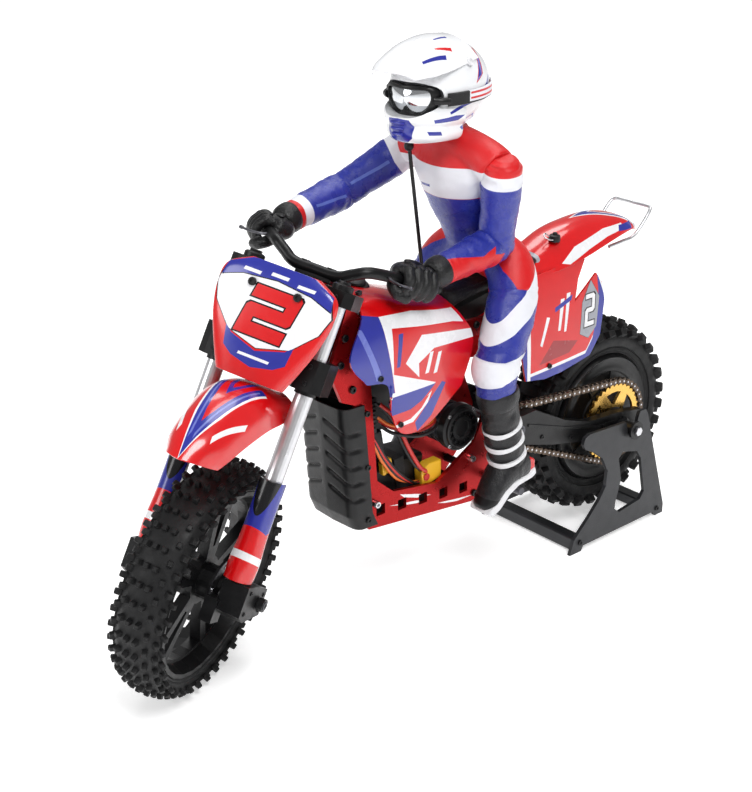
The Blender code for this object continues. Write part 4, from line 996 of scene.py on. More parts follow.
def tail():
    rows = [
        [(86, 0, 236), (86, 11, 234), (86, 17, 229), (86, 19, 225)],
        [(70, 0, 243), (70, 12, 241), (69, 20, 232), (70, 23, 226)],
        [(50, 0, 251), (50, 13, 248), (50, 21, 236), (51, 24, 228)],
        [(30, 0, 255), (30, 13, 251), (29, 21, 239), (30, 24, 232)],
        [(6, 0, 256), (5, 13, 252), (3, 20, 242), (3, 22, 237)],
        [(-18, 0, 251), (-19, 12, 249), (-21, 18, 243), (-21, 19, 240)],
        [(-37, 0, 241), (-35, 10, 241), (-31, 15, 240), (-30, 16, 238)],
    ]
    fender = shell("tail_fender", rows, BIKE, (0, 0, 1), 1.4, "chassis", "red_gloss", (48, 40))
    top = [
        ("white_gloss", [(30, 0), (-20, 14.5), (-34, 17), (-34, 13), (-4, 4.6), (8, 0)]),
        ("blue_gloss", [(26, 0), (-22, 13.2), (-33, 15.4), (-33, 13.6), (-3, 5.8), (10, 0)]),
        ("white_gloss", [(-8, 0), (-28, 6.6), (-38, 9), (-38, 5.6), (-24, 0)]),
        ("blue_gloss", [(-11, 0), (-28, 5.4), (-38, 7.6), (-38, 6.4), (-22, 0)]),
    ]
    paint(fender, BIKE, XY_VIEW, both_halves(top))
    sweep = [(-12, 247), (10, 247), (44, 240), (60, 231), (52, 229), (30, 236), (8, 241), (-12, 243)]
    flank = [
        ("white_gloss", sweep),
        ("blue_gloss", [(-24, 246), (-8, 246), (-6, 242), (-22, 241)]),
        ("grey_gloss", [(x + 79.0, z + 237.5) for x, z in circle((0.0, 0.0), 3.4, 20)]),
    ]
    paint(fender, BIKE, XZ_VIEW, both_sides(flank))
    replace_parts(fender, "tail_fairing")
    for side, sign in SIDES:
        tail_panel(side, sign)
    knob = [(0.0, 6.4), (1.6, 6.2), (2.0, 4.8), (3.9, 4.2), (4.4, 2.6), (4.4, 0.0), (0.0, 0.0)]
    stem = Matrix.Translation((58.6, 12.5, 246.3)) @ Matrix.Rotation(math.radians(84.0), 4, "X")
    lathe("tail_knob", knob, BIKE @ stem, "chassis", "black_plastic", 32)
    clip = [(62, 10.5, 249.5), (65, 9.0, 252.0), (68, 11.0, 250.6), (66, 14.0, 248.8), (62.4, 14.6, 248.0)]
    tube("body_clip", clip, 0.6, BIKE, "chassis", "steel", 32, 10)
    points = [(2, 17.5, 231), (-12, 18.6, 232.6), (-24, 19.4, 234.5), (-33, 20.2, 242.5), (-41, 19.8, 250.6)]
    points += [(-44.2, 17.8, 253.2), (-44.8, 14.0, 253.6), (-44.8, 0, 253.6)]
    points += [(x, -y, z) for x, y, z in reversed(points[:-1])]
    rail = tube("rear_rail", points, 1.35, BIKE, "chassis", "steel", 110, 12)
    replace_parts(rail, "grab_handle")


PANEL_OUTLINE = [(106, 2), (87, -1), (69, 0), (37, 5), (24, 18), (16, 44), (17, 58), (23, 66)]
PANEL_OUTLINE += [(50, 50), (44, 66), (34, 79), (70, 79), (98, 76), (112, 50)]
PANEL_LEAN = math.radians(8.5)
PANEL_FOOT = (0.0, 33.5, 151.0)


def tail_panel(side, sign):
    """Leaning side panel, gridded so that it bulges a little, with its livery."""
    foot = Matrix.Translation((PANEL_FOOT[0], sign * PANEL_FOOT[1], PANEL_FOOT[2]))
    matrix = BIKE @ foot @ Matrix.Rotation(sign * PANEL_LEAN, 4, "X")
    bm = bmesh.new()
    slab_into(bm, PANEL_OUTLINE, -0.9, 0.9, side_place)
    for axis, low, high in ((0, 14, 114), (2, -4, 82)):
        normal = Vector((0, 0, 0))
        normal[axis] = 1.0
        for step in range(low, high, 4):
            geometry = bm.verts[:] + bm.edges[:] + bm.faces[:]
            bmesh.ops.bisect_plane(bm, geom=geometry, plane_co=normal * step, plane_no=normal)
    for vert in bm.verts:
        reach = ((vert.co.x - 62) / 58) ** 2 + ((vert.co.z - 38) / 48) ** 2
        vert.co.y += sign * 2.2 * max(0.0, 1.0 - reach) - sign * 1.1
    panel = from_bmesh(f"tail_panel_{side}", bm, matrix, "chassis", "red_gloss")
    baked(bevelled(panel, 0.35))
    border = [(13, 44), (24, 14), (36, 2), (110, -3), (110, 6), (41, 10), (32, 20), (22, 46), (21, 68)]
    patch = [(22, 48), (28, 26), (38, 19), (47, 24), (42, 47), (30, 62)]
    livery = [
        ("white_gloss", border),
        ("blue_gloss", [(u + 1.0, v - 2.4) for u, v in border]),
        ("white_gloss", [(102, -3), (95, 78), (100, 78), (110, 52), (112, -3)]),
        ("blue_gloss", [(105, -3), (99.5, 78), (102, 78), (113, 52), (114, -3)]),
        ("black_gloss", [(u * 1.02 - 0.5, v * 1.02 - 0.6) for u, v in patch]),
        ("grey_gloss", patch),
        ("dark_red_gloss", [(50, 20), (60, 13), (92, 11), (76, 26)]),
        ("white_gloss", [(54, 58), (62, 30), (64.4, 30), (58, 58)]),
        ("white_gloss", [(61, 55), (68, 32), (70.6, 32), (65, 55)]),
        ("white_gloss", [(78, 44), (88, 24), (90, 25.4), (81, 45)]),
        ("blue_gloss", [(52, 56), (72, 50), (72, 46.6), (54, 52)]),
        ("white_gloss", [(88, 79), (100, 62), (103, 60), (95, 79)]),
    ]
    for kind, grow in (("black_gloss", 0.9), ("white_gloss", 0.0)):
        digit = plain_digit(0.0, 40.0, 11.0, 24.0, 3.4, grow)
        livery.append((kind, [(34.0 - sign * u, v) for u, v in digit]))
    paint(panel, matrix, XZ_VIEW, [(kind, outline, sign) for kind, outline in livery])
    places = [(98, sign * 0.6, 66), (82, sign * 1.2, 8)]
    bolts(f"panel_bolts_{side}", places, (0, sign, 0), 2.0, 1.2, matrix, "chassis", "black_plastic")


def seat():
    """Crowned vinyl cushion with a seam round its top.  A section is (x, z, half height, half width)."""
    sections = [(76.5, 234, 2.4, 12.0), (82, 235.6, 3.6, 16.0), (96, 231.6, 4.4, 17.6)]
    sections += [(112, 230.8, 4.4, 18.0), (130, 229.8, 5.6, 18.0), (150, 228.4, 7.0, 17.6)]
    sections += [(164, 226.6, 8.6, 17.0), (170, 227.4, 7.4, 14.0), (172, 229.0, 3.0, 10.0)]
    rows = []
    for x, z, half, wide in sections:
        ring = []
        for j in range(28):
            angle = 2 * math.pi * j / 28
            u = math.copysign(abs(math.cos(angle)) ** 0.55, math.cos(angle))
            v = math.copysign(abs(math.sin(angle)) ** 0.75, math.sin(angle))
            ring.append((x, wide * u, z + half * v * (1.0 if v < 0 else 1.0 - 0.12 * abs(u) ** 3)))
        rows.append(ring)
    grid = [list(row) for row in zip(*[smooth_points(column, 32) for column in zip(*rows)])]
    cushion = subdivided(skin("seat_cushion", grid, BIKE, "chassis", "seat_vinyl", closed=True, capped=True))
    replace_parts(cushion, "seat")
    for side, sign in SIDES:
        seam = [(x, sign * (wide * 0.93), z + half * 0.55) for x, z, half, wide in sections[1:-1]]
        tube(f"seat_seam_{side}", seam, 0.5, BIKE, "chassis", "seat_vinyl", 60, 8)


def guard_point(share, across):
    """A point of the guard's half.  share runs up it, and across from its middle to its rear edge."""
    z = 82.0 + 93.0 * share
    front = 262.5 + 4.5 * min(1.0, share * 9.0) + 7.0 * max(0.0, share - 0.1)
    half = 26.5 - 0.5 * share
    if across < 0.62:
        x, y = front + 1.0 - 1.0 * (across / 0.62), half * 0.72 * across / 0.62
    elif across < 0.8:
        turn = (across - 0.62) / 0.18
        x = front - 5.5 * turn**1.6
        y = half * (0.72 + 0.25 * math.sin(turn * math.pi / 2))
    else:
        turn = (across - 0.8) / 0.2
        x, y = front - 5.5 - 12.5 * turn, half * (0.97 + 0.03 * turn)
    slot = (z + 0.35 * y - 108.0) / 12.5
    if not (0.0 < slot < 5.2 and 0.10 < across < 0.94):
        return (x, y, z)
    wave = slot - math.floor(slot)
    edge = min(1.0, (across - 0.10) * 14.0, (0.94 - across) * 18.0)
    pull = 1.5 * math.exp(-(((wave - 0.5) / 0.10) ** 2)) * max(0.0, edge)
    inward = min(1.0, max(0.0, (across - 0.6) * 4.0))
    return (x - pull * (1.0 - inward), y - pull * inward, z)


def radiator_guard():
    """Wrap-round guard with pressed slanting grooves."""
    rows = [[guard_point(i / 96, j / 30) for j in range(31)] for i in range(97)]
    guard = skin("radiator_louvres", mirrored(rows), BIKE, "chassis", "black_plastic")
    bevelled(thickened(turned_out(guard, Vector((1, 0, 0))), 1.5), 0.3)
    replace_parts(guard, "radiator_guard")
    for side, sign in SIDES:
        places = [(253, sign * 26.2, 88), (253, sign * 25.9, 168), (253, sign * 26.0, 128)]
        bolts(f"guard_bolts_{side}", places, (0, sign, 0), 2.2, 1.3, BIKE, "chassis", "black_plastic")


# ---------------------------------------------------------------- frame and its contents
def frame_plates():
    slashes = [
        [(232, 91), (206, 86.5), (197, 84), (206, 84.4), (214, 86)],
        [(222, 96.6), (204, 91), (192, 86.4), (206, 88.8), (218, 93)],
        [(186, 77.6), (164, 74.2), (150, 72.4), (166, 72.6), (178, 75)],
    ]
    for side, sign in SIDES:
        plate = copy_cad(f"side_plate_{side}", f"frame_plate_{side}", "chassis", "red_anodised", 0.35)
        paint(plate, BIKE, XZ_VIEW, [("white_gloss", slash, sign) for slash in slashes])
        y = sign * (FRAME_Y + FRAME_HALF)
        places = [(252, y, 86), (149, y, 73.6), (128, y, 92), (119, y, 140), (252, y, 106), (270, y, 226)]
        places += [(246, y, 222), (120, y, 200), (206, y, 208), (150, y, 206), (274, y, 208), (264, y, 188)]
        bolts(f"frame_bolts_{side}", places, (0, sign, 0), 2.7, 1.8, BIKE, "chassis", "black_metal")
        places = [(246, y, 98), (154, y, 104)]
        bolts(f"frame_posts_{side}", places, (0, sign, 0), 2.6, 4.6, BIKE, "chassis", "steel")
    keep_cad("backbone", "black_plastic", 0.6)
    keep_cad("skid_tray", "black_plastic", 0.4)
    keep_cad("footpeg_bar", "dark_steel", 0.3)
    keep_cad("pivot_shaft", "dark_steel", 0.3)
    bolts("pivot_bolts", [(PIVOT[0], 40.5, PIVOT[1])], (0, 1, 0), 3.2, 1.4, BIKE, "chassis", "dark_steel")


def motor():
    keep_cad("motor", "dark_steel", 0.5)
    half_ring = [(15.4, 18.2), (17.5, 18.6), (17.5, 24.4), (16.6, 25.2), (15.4, 25.4), (15.0, 26.8)]
    half_ring += [(13.8, 27.4), (12.6, 27.0), (12.4, 25.2), (9.6, 25.0), (9.2, 26.4), (6.4, 26.6)]
    half_ring += [(6.0, 25.6), (0.0, 25.6), (0.0, 18.2)]
    hub = BIKE @ Matrix.Translation((MOTOR_CENTRE[0], 0.0, MOTOR_CENTRE[1]))
    cover = lathe("clutch_cover", half_ring, hub, "chassis", "black_plastic", 56)
    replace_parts(cover, "motor_cover")
    bm = bmesh.new()
    for i in range(14):
        angle = 2 * math.pi * i / 14
        ahead = (math.cos(angle), math.sin(angle))
        side = (-ahead[1] * 0.5, ahead[0] * 0.5)
        fin = []
        for reach, sign in ((9.8, 1), (12.3, 1), (12.3, -1), (9.8, -1)):
            fin.append((ahead[0] * reach + side[0] * sign, ahead[1] * reach + side[1] * sign))
        slab_into(bm, fin, 24.6, 26.6, side_place)
    from_bmesh("cover_fins", bm, hub, "chassis", "black_plastic")
    places = places_round(16.2, 24.8, 4, 45.0)
    bolts("cover_bolts", places, (0, 1, 0), 1.4, 0.9, hub, "chassis", "steel")
    bm = bmesh.new()
    for i in range(5):
        slab_into(bm, circle((0.0, 0.0), 15.9, 40), -9.0 + 5.0 * i, -7.4 + 5.0 * i, side_place)
    from_bmesh("motor_fins", bm, hub, "chassis", "dark_steel")


def electronics():
    keep_cad("battery", "black_plastic", 0.4)
    keep_cad("steering_servo", "black_plastic", 0.5)
    keep_cad("speed_controller", "black_plastic", 0.6)
    keep_cad("servo_horn", "black_plastic", 0.3)
    bm = bmesh.new()
    for i in range(7):
        z = 150.0 + 3.2 * i
        fin = [(239.0, z), (259.0, z), (259.0, z + 1.2), (239.0, z + 1.2)]
        slab_into(bm, fin, -18.9, 18.9, side_place)
    bevelled(from_bmesh("controller_fins", bm, BIKE, "chassis", "black_metal"), 0.2, 1)
    strap = [(205, 89.0), (214, 88.0), (216.8, 117.2), (207.8, 118.2)]
    slab("battery_strap", strap, -19.6, 11.9, BIKE, "chassis", "suit_dark", 0.2)
    receiver = [(198, 142), (236, 142), (236, 200), (212, 204), (198, 186)]
    slab("receiver_box", receiver, -15.0, 8.6, BIKE, "chassis", "black_plastic", 1.2)
    cover = [(224, 120), (258, 118), (258, 142), (228, 144)]
    slab("wiring_cover", cover, -16.0, 12.0, BIKE, "chassis", "black_plastic", 1.0)
    places = [(213, 9.2, 198.5), (243, 9.2, 198.5), (213, 9.2, 181.5), (243, 9.2, 181.5)]
    bolts("servo_bolts", places, (0, 1, 0), 1.3, 0.7, BIKE, "chassis", "steel")


LEAD_ROUTE = [(236, 19.4, 168), (228, 25, 158), (217, 26, 134)]
LEAD_ROUTE += [(205, 25, 114), (196, 22, 106), (193, 18, 103)]
SENSOR_ROUTE = [(236, 19.4, 152), (230, 27, 147), (212, 31, 141)]
SENSOR_ROUTE += [(196, 28, 139), (186, 22, 138), (180.4, 16, 137)]


def lead(name, route, radius, kind):
    """A short lead inside the frame, held at both ends."""
    wire = tube(name, route, radius, BIKE, "chassis", kind, 60, 14)
    return wire


def leads():
    """Power, sensor and phase leads of one harness, and the plugs they end in."""
    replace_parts(lead("power_lead", LEAD_ROUTE, 1.5, "red_cable"), "power_lead_red")
    lead("power_lead_second", [(x + 2.6, y - 2.4, z + 1.2) for x, y, z in LEAD_ROUTE], 1.4, "black_cable")
    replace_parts(lead("sensor_lead", SENSOR_ROUTE, 1.3, "black_cable"), "motor_lead_black")
    for i, kind in enumerate(("red_cable", "orange_cable")):
        near = [(x - 1.0 + i, y - 2.6, z + 2.6 * (i + 1)) for x, y, z in SENSOR_ROUTE]
        lead(f"phase_lead_{i}", near, 1.1, kind)
    body = [(178, 95.2), (196.6, 91.2), (197.6, 104.8), (190, 108.8), (178, 108.8)]
    slab("power_plug", body, 11.2, 19.8, BIKE, "chassis", "yellow_plastic", 1.2)
    bm = bmesh.new()
    slab_into(bm, circle((193.0, 99.4), 2.7, 20), 17.0, 20.6, side_place)
    from_bmesh("plug_pin", bm, BIKE, "chassis", "red_cable")
    body = [(222, 113), (231, 111), (232.4, 121), (223.4, 123)]
    slab("balance_plug", body, 12.0, 17.0, BIKE, "chassis", "yellow_plastic", 0.8)
    for i, kind in enumerate(("orange_cable", "black_cable", "red_cable", "black_cable")):
        strand = [(251, 12, 158), (246 - i, 20, 146), (236 - 1.6 * i, 20.5, 126), (222 - 2.0 * i, 19, 108)]
        strand += [(207 - 2.0 * i, 17, 99 - i), (196.0 - 2.0 * i, 15.0, 95.5 - 0.5 * i)]
        lead(f"loom_strand_{i}", strand, 1.1, kind)


def rear_suspension():
    keep_cad("shock_body", "steel", 0.3)
    keep_cad("shock_rod", "steel", 0.3)
    keep_cad("shock_spring", "red_anodised", 0)
    keep_cad("swingarm", "black_plastic", 0.8)
    keep_cad("rear_axle", "black_metal", 0.3)
    crease = [(108, 121.5), (66, 107.0), (30, 97.0), (8, 95.4), (8, 94.2), (30, 95.4), (66, 104.8)]
    crease.append((108, 119.0))
    for side, sign in SIDES:
        y = sign * 38.0
        low, high = sorted((y, y + sign * 0.8))
        slab(f"swingarm_crease_{side}", crease, low, high, BIKE, "swingarm", "black_plastic", 0.3)
        places = [(22, y, 93), (60, y, 96.5), (92, y, 106)]
        bolts(f"arm_bolts_{side}", places, (0, sign, 0), 1.8, 1.0, BIKE, "swingarm", "black_metal")
        hexagon = circle((0.0, REAR_AXLE_Z), 3.8, 6)
        low, high = sorted((sign * AXLE_END, sign * (AXLE_END + 2.6)))
        slab(f"axle_nut_{side}", hexagon, low, high, BIKE, "swingarm", "steel", 0.4)


def stand():
    for node in ("stand_plate_left", "stand_plate_right", "stand_bar_front", "stand_bar_rear"):
        keep_cad(node, "stand_paint", 0.45)
    for side, sign in SIDES:
        y = sign * (STAND_Y + 1.5)
        places = [(56, y, 8), (-38, y, 6)]
        bolts(f"stand_bolts_{side}", places, (0, sign, 0), 2.3, 1.2, BIKE, "stand", "black_metal")


# ---------------------------------------------------------------- front end
def fork():
    for side, sign in SIDES:
        keep_cad(f"fork_tube_{side}", "fork_silver", 0.3)
        keep_cad(f"fork_lower_{side}", "black_plastic", 0.6)
        fork_guard(side, sign)
        y = sign * 44.0
        places = [(-5, y, 5.4), (-5, y, -5.4), (18, y, 8), (18, y, -6)]
        bolts(f"foot_bolts_{side}", places, (0, sign, 0), 1.5, 0.8, FORK, "fork_lower", "black_metal")
    for node in ("lower_clamp", "upper_clamp"):
        keep_cad(node, "black_metal", 0.7)
    pinch = [(27.8, y, t) for t in (145.0, 156.0) for y in (33.0, -33.0)]
    bolts("lower_clamp_bolts", pinch, (1, 0, 0), 1.7, 1.0, FORK, "steering", "black_metal")
    pinch = [(27.8, y, 202.0) for y in (33.0, -33.0)]
    bolts("upper_clamp_bolts", pinch, (1, 0, 0), 1.7, 1.0, FORK, "steering", "black_metal")
    caps = [(FORK_N, FORK_Y, 211.2), (FORK_N, -FORK_Y, 211.2), (-8.0, 0.0, 207.0)]
    bolts("fork_caps", caps, (0, 0, 1), 4.2, 1.8, FORK, "steering", "black_metal")
    seal = [(6.3, -1.5), (7.2, -1.5), (7.2, 1.5), (6.3, 1.5)]
    cover = [(0.0, 6.4), (5.4, 6.2), (6.9, 5.2), (6.9, -2.0), (0.0, -2.0)]
    for side, sign in SIDES:
        for name, profile, height in (("top", cover, 205.0), ("seal", seal, 139.0)):
            upright = FORK @ Matrix.Translation((FORK_N, sign * FORK_Y, height))
            upright = upright @ Matrix.Rotation(math.pi / 2, 4, "X")
            lathe(f"fork_{name}_{side}", profile, upright, "steering", "black_plastic", 40)


def fork_guard(side, sign):
    """Half-pipe guard with a shaped lower lobe and livery."""
    rows = []
    for i in range(35):
        share = i / 34
        t = 13.0 + 67.0 * share
        radius = 8.8 + 1.4 * math.exp(-(((t - 24.0) / 14.0) ** 2))
        start = -60.0 + 8.0 * math.sin(share * math.pi)
        end = 125.0 - 16.0 * share - 7.0 * abs(math.sin(share * math.pi * 3.0))
        row = arc((FORK_N, FORK_Y), radius, start, end, 24)
        rows.append([(x, sign * y, t) for x, y in row])
    guard = skin(f"leg_guard_{side}", rows, FORK, "fork_lower", "red_gloss")
    turned_out(guard, middle_face(guard).center - FORK @ Vector((FORK_N, sign * FORK_Y, 46.0)))
    baked(bevelled(thickened(guard, 1.5), 0.3))
    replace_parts(guard, f"fork_guard_{side}")
    layers = [
        ("blue_gloss", [(0, 82), (32, 82), (32, 52), (20, 46), (0, 56)], 0),
        ("black_gloss", [(21.5, 82), (32, 82), (32, 50), (27, 54)], 0),
        ("white_gloss", [(0, 26), (32, 34), (32, 29), (0, 21)], 0),
        ("white_gloss", [(6, 34), (10, 40), (9, 46), (13, 50), (12, 58), (8, 56), (4, 42)], sign),
        ("blue_gloss", [(6, 37), (9, 42), (7.6, 47), (11, 51), (10, 57), (4, 54), (2, 42)], sign),
        ("lilac_gloss", [(10, 72), (14, 64), (16, 65), (12.4, 74)], sign),
    ]
    paint(guard, FORK, XZ_VIEW, layers)


def bars():
    half = [(273.0, 0.0, 267.5), (273.0, 16.0, 268.0), (270.0, 25.0, 271.5), (266.5, 33.0, 274.5)]
    half += [(259.0, 40.0, 273.0), (238.2, 55.8, 265.5), (222.0, 68.0, 259.0)]
    points = [(x, -y, z) for x, y, z in reversed(half[1:])] + half
    bar = tube("handlebar_tube", points, 3.9, BARS, "steering", "black_metal", 120, 20)
    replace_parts(bar, "handlebar")
    riser = [(-17.5, 207.4), (-6.5, 207.4), (-6.5, 217.0), (-17.5, 217.0)]
    bm = bmesh.new()
    slab_into(bm, riser, -13.0, 13.0, side_place)
    bevelled(from_bmesh("riser_block", bm, FORK, "steering", "black_metal"), 1.2, 3)
    places = [(x, y, 216.8) for x in (-15.0, -9.0) for y in (-9.5, 9.5)]
    bolts("riser_bolts", places, (0, 0, 1), 2.2, 1.2, FORK, "steering", "black_metal")
    reach = [(246, 47.5, 268.6), (255, 45.0, 271.5), (260.5, 48, 272.6), (262.4, 55, 272.6)]
    reach.append((261.4, 64.0, 272.4))
    radii = [2.1 - 0.9 * min(1.0, i / 26) + (0.6 if i > 37 else 0.0) for i in range(41)]
    for side, sign in SIDES:
        bm = bmesh.new()
        path = smooth_points([(x, sign * y, z) for x, y, z in reach], 40)
        tube_into(bm, path, radii, 12, 0.7)
        from_bmesh(f"bar_lever_{side}", bm, BARS, "steering", "dark_steel")


def grip_frame(sign):
    """Glove coordinates: x out along the grip, y forward off it and z up."""
    inner, outer, centre = (Vector((x, sign * y, z)) for x, y, z in (GRIP_INNER, GRIP_OUTER, GRIP))
    across = (outer - inner).normalized()
    up = (Vector((0, 0, 1)) - across * across.z).normalized()
    ahead = up.cross(across)
    if ahead.x < 0.0:
        ahead = -ahead
    return BARS @ Matrix.Translation(centre) @ axes(across, ahead, up)


def gloves():
    """Four fingers closed round the grip, a thumb, the palm and a cuff, in one leather skin."""
    for side, sign in SIDES:
        matrix = grip_frame(sign)
        bm = bmesh.new()
        for i in range(4):
            x = -10.6 + 6.9 * i
            reach = 8.4 - 0.5 * abs(i - 1.4)
            path = []
            for j in range(17):
                angle = math.radians(150.0 - 205.0 * j / 16)
                path.append(Vector((x, reach * math.cos(angle) + 0.6, reach * math.sin(angle) - 0.2)))
            tube_into(bm, path, [4.1 - 0.05 * j for j in range(17)], 14)
            ball_into(bm, path[-1], (3.4, 3.4, 3.4))
            ball_into(bm, Vector((x, 1.5, reach + 1.2)), (3.9, 4.6, 3.4))
        ball_into(bm, (-1.0, -7.0, 3.0), (14.5, 9.6, 8.2))
        ball_into(bm, (-3.0, -11.0, 1.5), (10.5, 8.5, 7.4))
        thumb = smooth_points([(-13, -6, -1), (-15.6, 0, -5), (-14.4, 6.0, -7.6), (-8, 8.6, -8.6)], 16)
        tube_into(bm, thumb, [4.4 - 0.04 * j for j in range(17)], 14)
        ball_into(bm, thumb[-1], (3.7, 3.7, 3.7))
        hand = merged(f"hand_{side}", bm, matrix, "steering", "glove_leather", 0.75, 7)
        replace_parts(hand, f"glove_{side}")
        bm = bmesh.new()
        for x in (-7.0, -0.1, 6.8):
            ball_into(bm, (x, 0.0, 11.6), (2.6, 3.6, 1.5), 16, 10)
        ball_into(bm, (-1.0, -9.0, 10.6), (8.0, 3.4, 1.6), 20, 12)
        from_bmesh(f"knuckle_pads_{side}", bm, matrix, "steering", "black_plastic")


# ---------------------------------------------------------------- rider
def limb_rings(stations, count, sides, fold):
    """Rings round a limb.  A station is (x, y, z, half width across, half depth)."""
    centres = smooth_points([station[:3] for station in stations], count)
    sizes = smooth_points([(station[3], station[4], 0.0) for station in stations], count)
    rings = []
    for i, (centre, size) in enumerate(zip(centres, sizes)):
        ahead = (centres[min(i + 1, count)] - centres[max(i - 1, 0)]).normalized()
        left = Vector((0, 1, 0))
        across = (left - ahead * left.dot(ahead)).normalized()
        deep = ahead.cross(across)
        rim = min(1.0, i / 3.0, (count - i) / 3.0)
        ring = []
        for j in range(sides):
            angle = 2 * math.pi * j / sides
            out = across * (size.x * math.cos(angle)) + deep * (size.y * math.sin(angle))
            seed = Vector((i * 0.30, math.cos(angle) * 1.1 + stations[0][1] * 0.1, math.sin(angle) * 1.1))
            crease = noise.noise(seed) + 0.5 * noise.noise(seed * 2.3)
            ring.append(centre + out * (1.0 + rim * (crease * fold) / max(6.0, out.length)))
        rings.append(ring)
    return rings


def limb(name, stations, matrix, body, kind, count=56, sides=40, fold=0.7):
    rings = limb_rings(stations, count, sides, fold)
    return subdivided(skin(name, rings, matrix, body, kind, closed=True, capped=True))


def torso():
    """Jersey with its shoulders and hips in one skin, then its colour areas."""
    stations = [(124, 0, 240, 21, 18), (123, 0, 248, 24.5, 22), (125, 0, 264, 22.5, 24)]
    stations += [(133, 0, 284, 25, 25), (143, 0, 302, 29.5, 24), (148, 0, 316, 35, 23.5)]
    stations += [(151, 0, 326, 32, 20.5), (154, 0, 334, 22, 16), (157, 0, 340, 15, 13.5)]
    stations.append((158, 0, 343, 13.6, 12.6))
    yoke = [(156, 6, 336), (153, 20, 331.5), (151, 33, 326.5), (150.4, 42, 321.5)]
    hip = [(122, 10, 250), (122, 24, 247), (125, 34, 238.5), (129, 39.5, 227)]
    bm = bmesh.new()
    rings_into(bm, limb_rings(stations, 70, 56, 0.9))
    for sign in (1, -1):
        for points, radius, grow in ((yoke, 12.4, 0.11), (hip, 17.8, -0.03)):
            path = [Vector((p.x, sign * p.y, p.z)) for p in smooth_points(points, 16)]
            tube_into(bm, path, [radius + grow * j for j in range(17)], 28)
    body = merged("rider_jersey", bm, BIKE, "chassis", "suit_red", 1.3, 9)
    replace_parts(body, "rider_torso")
    layers = [
        ("suit_blue", [(128, 300), (210, 294), (210, 252), (140, 244), (136, 262), (141, 280)], 0),
        ("suit_white", [(130, 301), (210, 293), (210, 314), (160, 321), (130, 320)], 0),
        ("suit_blue", [(140, 250), (170, 256), (170, 215), (137, 234)], 0),
        ("suit_white", THIGH_BAND, 0),
        ("suit_blue", [(84, 238), (126, 219), (160, 203), (84, 200)], 0),
    ]
    paint(body, BIKE, XZ_VIEW, layers)
    paint(body, BIKE, YZ_VIEW, [("suit_blue", [(-16, 304.6), (-4, 305.2), (-4, 303.4), (-16, 302.6)], 1)])
    collar = []
    for i in range(49):
        angle = 2 * math.pi * i / 48
        collar.append((158 + 13.2 * math.cos(angle), 14.0 * math.sin(angle), 343.0 - 1.6 * math.cos(angle)))
    tube("jersey_collar", collar, 1.7, BIKE, "chassis", "suit_red", 96, 12)
    neck = [(158, 0, 337, 12, 11), (160, 0, 345, 11.5, 11), (162, 0, 352, 11.5, 11), (163, 0, 356, 11, 10)]
    limb("rider_neck", neck, BIKE, "chassis", "suit_dark", 16, 32, 0.0)


LEG = [(125, 34, 240, 13, 15), (127, 38, 232, 16, 17), (131, 40.5, 222, 17.4, 18.6), (142, 45, 204, 17, 18)]
LEG += [(150, 48, 190, 15.8, 16.8), (155, 50, 179, 15.6, 16.4), (154, 49.5, 168, 14, 14.8)]
LEG += [(152, 49, 158, 13.4, 14), (148, 48.4, 144, 13.6, 14.4), (145, 48, 130, 13.2, 14)]
LEG += [(141, 48, 114, 13, 13.6), (136, 48, 104, 11.5, 12.5)]
THIGH_BAND = [(88, 262), (104, 254), (128, 236), (152, 218), (174, 202), (180, 193), (152, 206), (126, 220)]
THIGH_BAND += [(88, 238)]
BOOT = [(122, 48, 97, 7, 6.5), (126, 48, 98, 10.6, 10.5), (134, 48, 101, 12, 13.5), (143, 48, 98.5, 11.6, 13)]
BOOT += [(152, 48, 91, 11, 10), (159, 48, 82.5, 10, 7.5), (163, 48, 77.5, 7, 5)]
KNEE = [(156.0, 50, 190, 14.6, 15.6), (156.6, 50, 185, 15.9, 16.9), (156.8, 50, 179, 15.7, 16.7)]
KNEE += [(156.0, 50, 173.6, 14, 15)]


def mirrored_stations(stations, sign):
    return [(x, sign * y, z, across, deep) for x, y, z, across, deep in stations]


def legs():
    for side, sign in SIDES:
        stations = mirrored_stations(LEG, sign)
        leg = limb(f"rider_trousers_{side}", stations, BIKE, "chassis", "suit_blue", 84, 44, 1.0)
        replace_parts(leg, f"rider_leg_{side}")
        layers = [
            ("suit_white", THIGH_BAND, 0),
            ("suit_white", [(110, 195), (180, 188), (180, 175), (110, 179)], 0),
            ("suit_red", [(128, 173), (136, 173), (133, 162), (124, 162)], sign),
            ("boot_leather", [(100, 162), (190, 163), (190, 95), (100, 95)], 0),
        ]
        paint(leg, BIKE, XZ_VIEW, layers)
        limb(f"knee_cup_{side}", mirrored_stations(KNEE, sign), BIKE, "chassis", "suit_white", 24, 40, 0.2)
        boot(side, sign)


